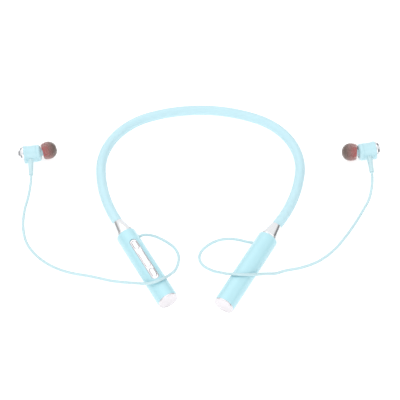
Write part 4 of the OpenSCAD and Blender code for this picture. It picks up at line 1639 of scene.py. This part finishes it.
def heading(turn: float, drop: float = 0.0) -> Point:
    """The unit vector at a turn from +X, going down by a drop.

    Args:
        turn: the turn about Z in degrees.
        drop: the drop in degrees.

    Returns:
        The vector.
    """
    turn, drop = math.radians(turn), math.radians(drop)
    flat = math.cos(drop)
    return (flat * math.cos(turn), flat * math.sin(turn), -math.sin(drop))


LEFT_CORD = Cord(
    Side.LEFT,
    (-35.769, -31.324, 6.5),
    (-111.669, 16.372, 6.25),
    [
        (-33.1, -29.8, 6.1), (-28.4, -28.7, 4.0), (-23.2, -29.3, 1.8), (-17.4, -32.4, LIES),
        (-12.8, -37.0, LIES), (-10.6, -42.6, LIES), (-11.0, -48.6, 1.0), (-12.4, -53.5, 2.1),
        (-14.0, -58.0, 5.8), (-15.6, -62.0, 9.3), (-17.3, -65.5, 12.6), (-19.5, -68.1, 14.2),
        (-22.5, -69.7, 14.2), (-26.3, -69.8, 12.5), (-31.0, -68.2, 9.3), (-36.1, -65.8, 6.0),
        (-42.2, -63.2, 2.3), (-52.0, -61.3, LIES), (-65.0, -58.4, LIES), (-78.0, -56.1, LIES),
        (-89.8, -51.7, LIES), (-100.0, -44.6, LIES), (-108.0, -35.0, LIES), (-112.2, -22.9, LIES),
        (-113.3, -10.0, LIES), (-112.3, 1.5, 1.3), (-111.4, 10.2, 4.4),
    ],
    leaves=heading(32),
    enters=heading(99),
    length=221.2,
)
RIGHT_CORD = Cord(
    Side.RIGHT,
    (37.071, -32.614, 3.542),
    (113.029, 24.192, 6.25),
    [
        (34.5, -31.3, 2.5), (31.4, -29.9, 1.3), (26.8, -28.4, LIES), (20.6, -27.8, LIES),
        (14.0, -29.1, LIES), (7.6, -33.0, LIES), (3.2, -38.4, LIES), (2.5, -44.0, LIES),
        (5.6, -49.0, LIES), (11.2, -52.2, LIES), (15.4, -53.9, 2.0), (18.0, -56.8, 5.6),
        (20.5, -59.5, 9.1), (23.1, -61.6, 12.4), (25.9, -62.9, 14.0), (29.7, -63.0, 14.0),
        (34.4, -61.7, 12.3), (39.5, -59.3, 9.1), (44.6, -56.7, 5.9), (50.2, -54.0, 2.3),
        (56.0, -51.0, LIES), (66.6, -48.2, LIES), (77.3, -43.1, LIES), (86.6, -34.9, LIES),
        (94.0, -25.0, LIES), (100.8, -14.0, LIES), (106.6, -3.0, LIES), (111.0, 6.4, LIES),
        (113.1, 16.6, 3.9),
    ],
    leaves=heading(152, 25),
    enters=heading(94),
    length=219.7,
)


# ---------------------------------------------------------------- studio


@dataclass(frozen=True)
class Lamp:
    """A square soft light: its place and its side in metres, and its power in watts."""

    name: str
    where: Point
    size: float
    power: float


@dataclass
class Studio:
    """The pale floor, the soft light and the camera.

    The camera's target and distance are in millimetres and its turns in radians. Each dim screen of
    the dome is where it begins and ends along X, as a share of the dome, and how bright it is.
    """

    target: Point = (0.75, 3.14, 0.0)
    swing: float = 0.0749
    lift: float = 0.9303
    roll: float = -0.0395
    distance: float = 700.0
    lens: float = 96.2
    floor_size: float = 5.0
    floor_tone: str = "#cfcfcf"
    floor_glow: float = 0.62
    fibre: float = 2.0
    sky_light: float = 1.12
    screen_top: tuple[float, float] = (0.45, 0.28)
    screens: tuple[Point, ...] = ((0.25, 0.42, 0.28), (-0.4, -0.75, 0.5))
    lamps: tuple[Lamp, ...] = (
        Lamp("key", (-0.25, 0.35, 0.75), 0.9, 1.6),
        Lamp("fill", (0.1, -0.75, 0.45), 0.8, 1.6),
    )

    def camera(self) -> bpy.types.Object:
        """Makes the camera and gives it to the scene.

        Returns:
            The camera.
        """
        flat = math.cos(self.lift)
        back = Vector((math.sin(self.swing) * flat, -math.cos(self.swing) * flat, math.sin(self.lift)))
        right = Vector((math.cos(self.swing), math.sin(self.swing), 0))
        up = back.cross(right)
        c, s = math.cos(self.roll), math.sin(self.roll)
        right, up = right * c + up * s, up * c - right * s
        where = (Vector(self.target) + back * self.distance) * MM
        data = bpy.data.cameras.new("camera")
        data.lens = self.lens
        data.sensor_width = 36.0
        data.clip_start = 0.01
        made = bpy.data.objects.new("camera", data)
        bpy.context.scene.collection.objects.link(made)
        made.matrix_world = Matrix.Translation(where) @ Matrix((right, up, back)).transposed().to_4x4()
        bpy.context.scene.camera = made
        return made

    def floor(self) -> None:
        """Makes the plain pale floor, a white board lit softly from below as on a light table."""
        bm = bmesh.new()
        half = self.floor_size / 2
        corners = [(-half, -half), (half, -half), (half, half), (-half, half)]
        bm.faces.new([bm.verts.new((x, y, 0)) for x, y in corners])
        mesh = bpy.data.meshes.new("floor")
        bm.to_mesh(mesh)
        bm.free()
        material = bpy.data.materials.new("matt_white_board")
        material.use_nodes = True
        tree = material.node_tree
        tree.nodes.clear()
        place = add_node(tree, "ShaderNodeTexCoord").outputs["Object"]
        scale = per_metre(self.fibre)
        fibre = add_node(tree, "ShaderNodeTexNoise", {"Scale": scale, "Detail": 3.0}, {"Vector": place})
        bump = add_node(
            tree, "ShaderNodeBump", {"Strength": 0.2, "Distance": 0.02 * MM}, {"Height": fibre}
        )
        shader = add_node(
            tree,
            "ShaderNodeBsdfPrincipled",
            {
                "Base Color": paint(self.floor_tone),
                "Roughness": 0.85,
                "Specular IOR Level": 0.1,
                "Emission Color": (1, 1, 1, 1),
                "Emission Strength": self.floor_glow,
            },
            {"Normal": bump},
        )
        add_node(tree, "ShaderNodeOutputMaterial", links={"Surface": shader})
        new_object("floor", mesh, material)

    def light(self) -> None:
        """A white dome with a dim screen low down at each side, one broad soft key and one low fill."""
        world = bpy.data.worlds.new("studio")
        bpy.context.scene.world = world
        world.use_nodes = True
        tree = world.node_tree
        tree.nodes.clear()
        way = add_node(tree, "ShaderNodeTexCoord").outputs["Generated"]
        split = add_node(tree, "ShaderNodeSeparateXYZ", links={0: way}).outputs
        # soft steps, from nothing at their start to one at their end: first up the dome, then across it
        edges = [("Z", *self.screen_top)] + [("X", start, stop) for start, stop, _ in self.screens]
        low, *sides = [
            add_node(
                tree,
                "ShaderNodeMapRange",
                {"From Min": start, "From Max": stop},
                {"Value": split[axis]},
                interpolation_type="SMOOTHSTEP",
            )
            for axis, start, stop in edges
        ]
        glow = add_node(tree, "ShaderNodeValue")
        glow.outputs[0].default_value = self.sky_light
        for side, (_, _, light) in zip(sides, self.screens):
            band = add_node(tree, "ShaderNodeMath", links={0: low, 1: side}, operation="MULTIPLY")
            glow = add_node(
                tree, "ShaderNodeMapRange", {"To Max": light}, {"Value": band, "To Min": glow}
            )
        sky = add_node(tree, "ShaderNodeBackground", {"Color": (1, 1, 1, 1)}, {"Strength": glow})
        add_node(tree, "ShaderNodeOutputWorld", links={"Surface": sky})
        for lamp in self.lamps:
            self._hang(lamp)

    def _hang(self, lamp: Lamp) -> None:
        """Makes a lamp that looks at the object.

        Args:
            lamp: the lamp.
        """
        data = bpy.data.lights.new(lamp.name, "AREA")
        data.shape = "SQUARE"
        data.size = lamp.size
        data.energy = lamp.power
        made = bpy.data.objects.new(lamp.name, data)
        bpy.context.scene.collection.objects.link(made)
        made.location = lamp.where
        made.rotation_euler = (-Vector(lamp.where)).to_track_quat("-Z", "Y").to_euler()

    def colours(self) -> None:
        """Shows the colours as they are, with no film look."""
        view = bpy.context.scene.view_settings
        view.view_transform = "Standard"
        view.look = "None"
        view.exposure = 0.0
        view.gamma = 1.0


def dress_carried() -> None:
    """Gives each node that is carried over as it is the finish of what it is made of."""
    for finish, names in CARRIED.items():
        for name in names:
            node = frame["nodes"][name]
            node.data.materials.clear()
            node.data.materials.append(finish.build())
            log.info("%s is carried over in %s", name, finish.name)


def main() -> None:
    """Makes the camera and the cords, then every sub-assembly, the carried nodes and the studio."""
    logging.basicConfig(level=logging.INFO, format="%(message)s")
    studio = Studio()
    studio.camera()
    for cord in (LEFT_CORD, RIGHT_CORD):
        cord.dress()
    Neckband().dress()
    ControlStick().dress()
    Stick(Side.RIGHT, splay=28.0, exit_drop=25.0).dress()
    Earbud(Side.LEFT, spot=(-118.6, 33.3), turn=11.0, boot_lean=-2.0).dress()
    Earbud(Side.RIGHT, spot=(-115.9, 42.9), turn=-11.0, boot_lean=7.0).dress()
    dress_carried()
    studio.floor()
    studio.light()
    studio.colours()


if __name__ == "__main__":
    main()
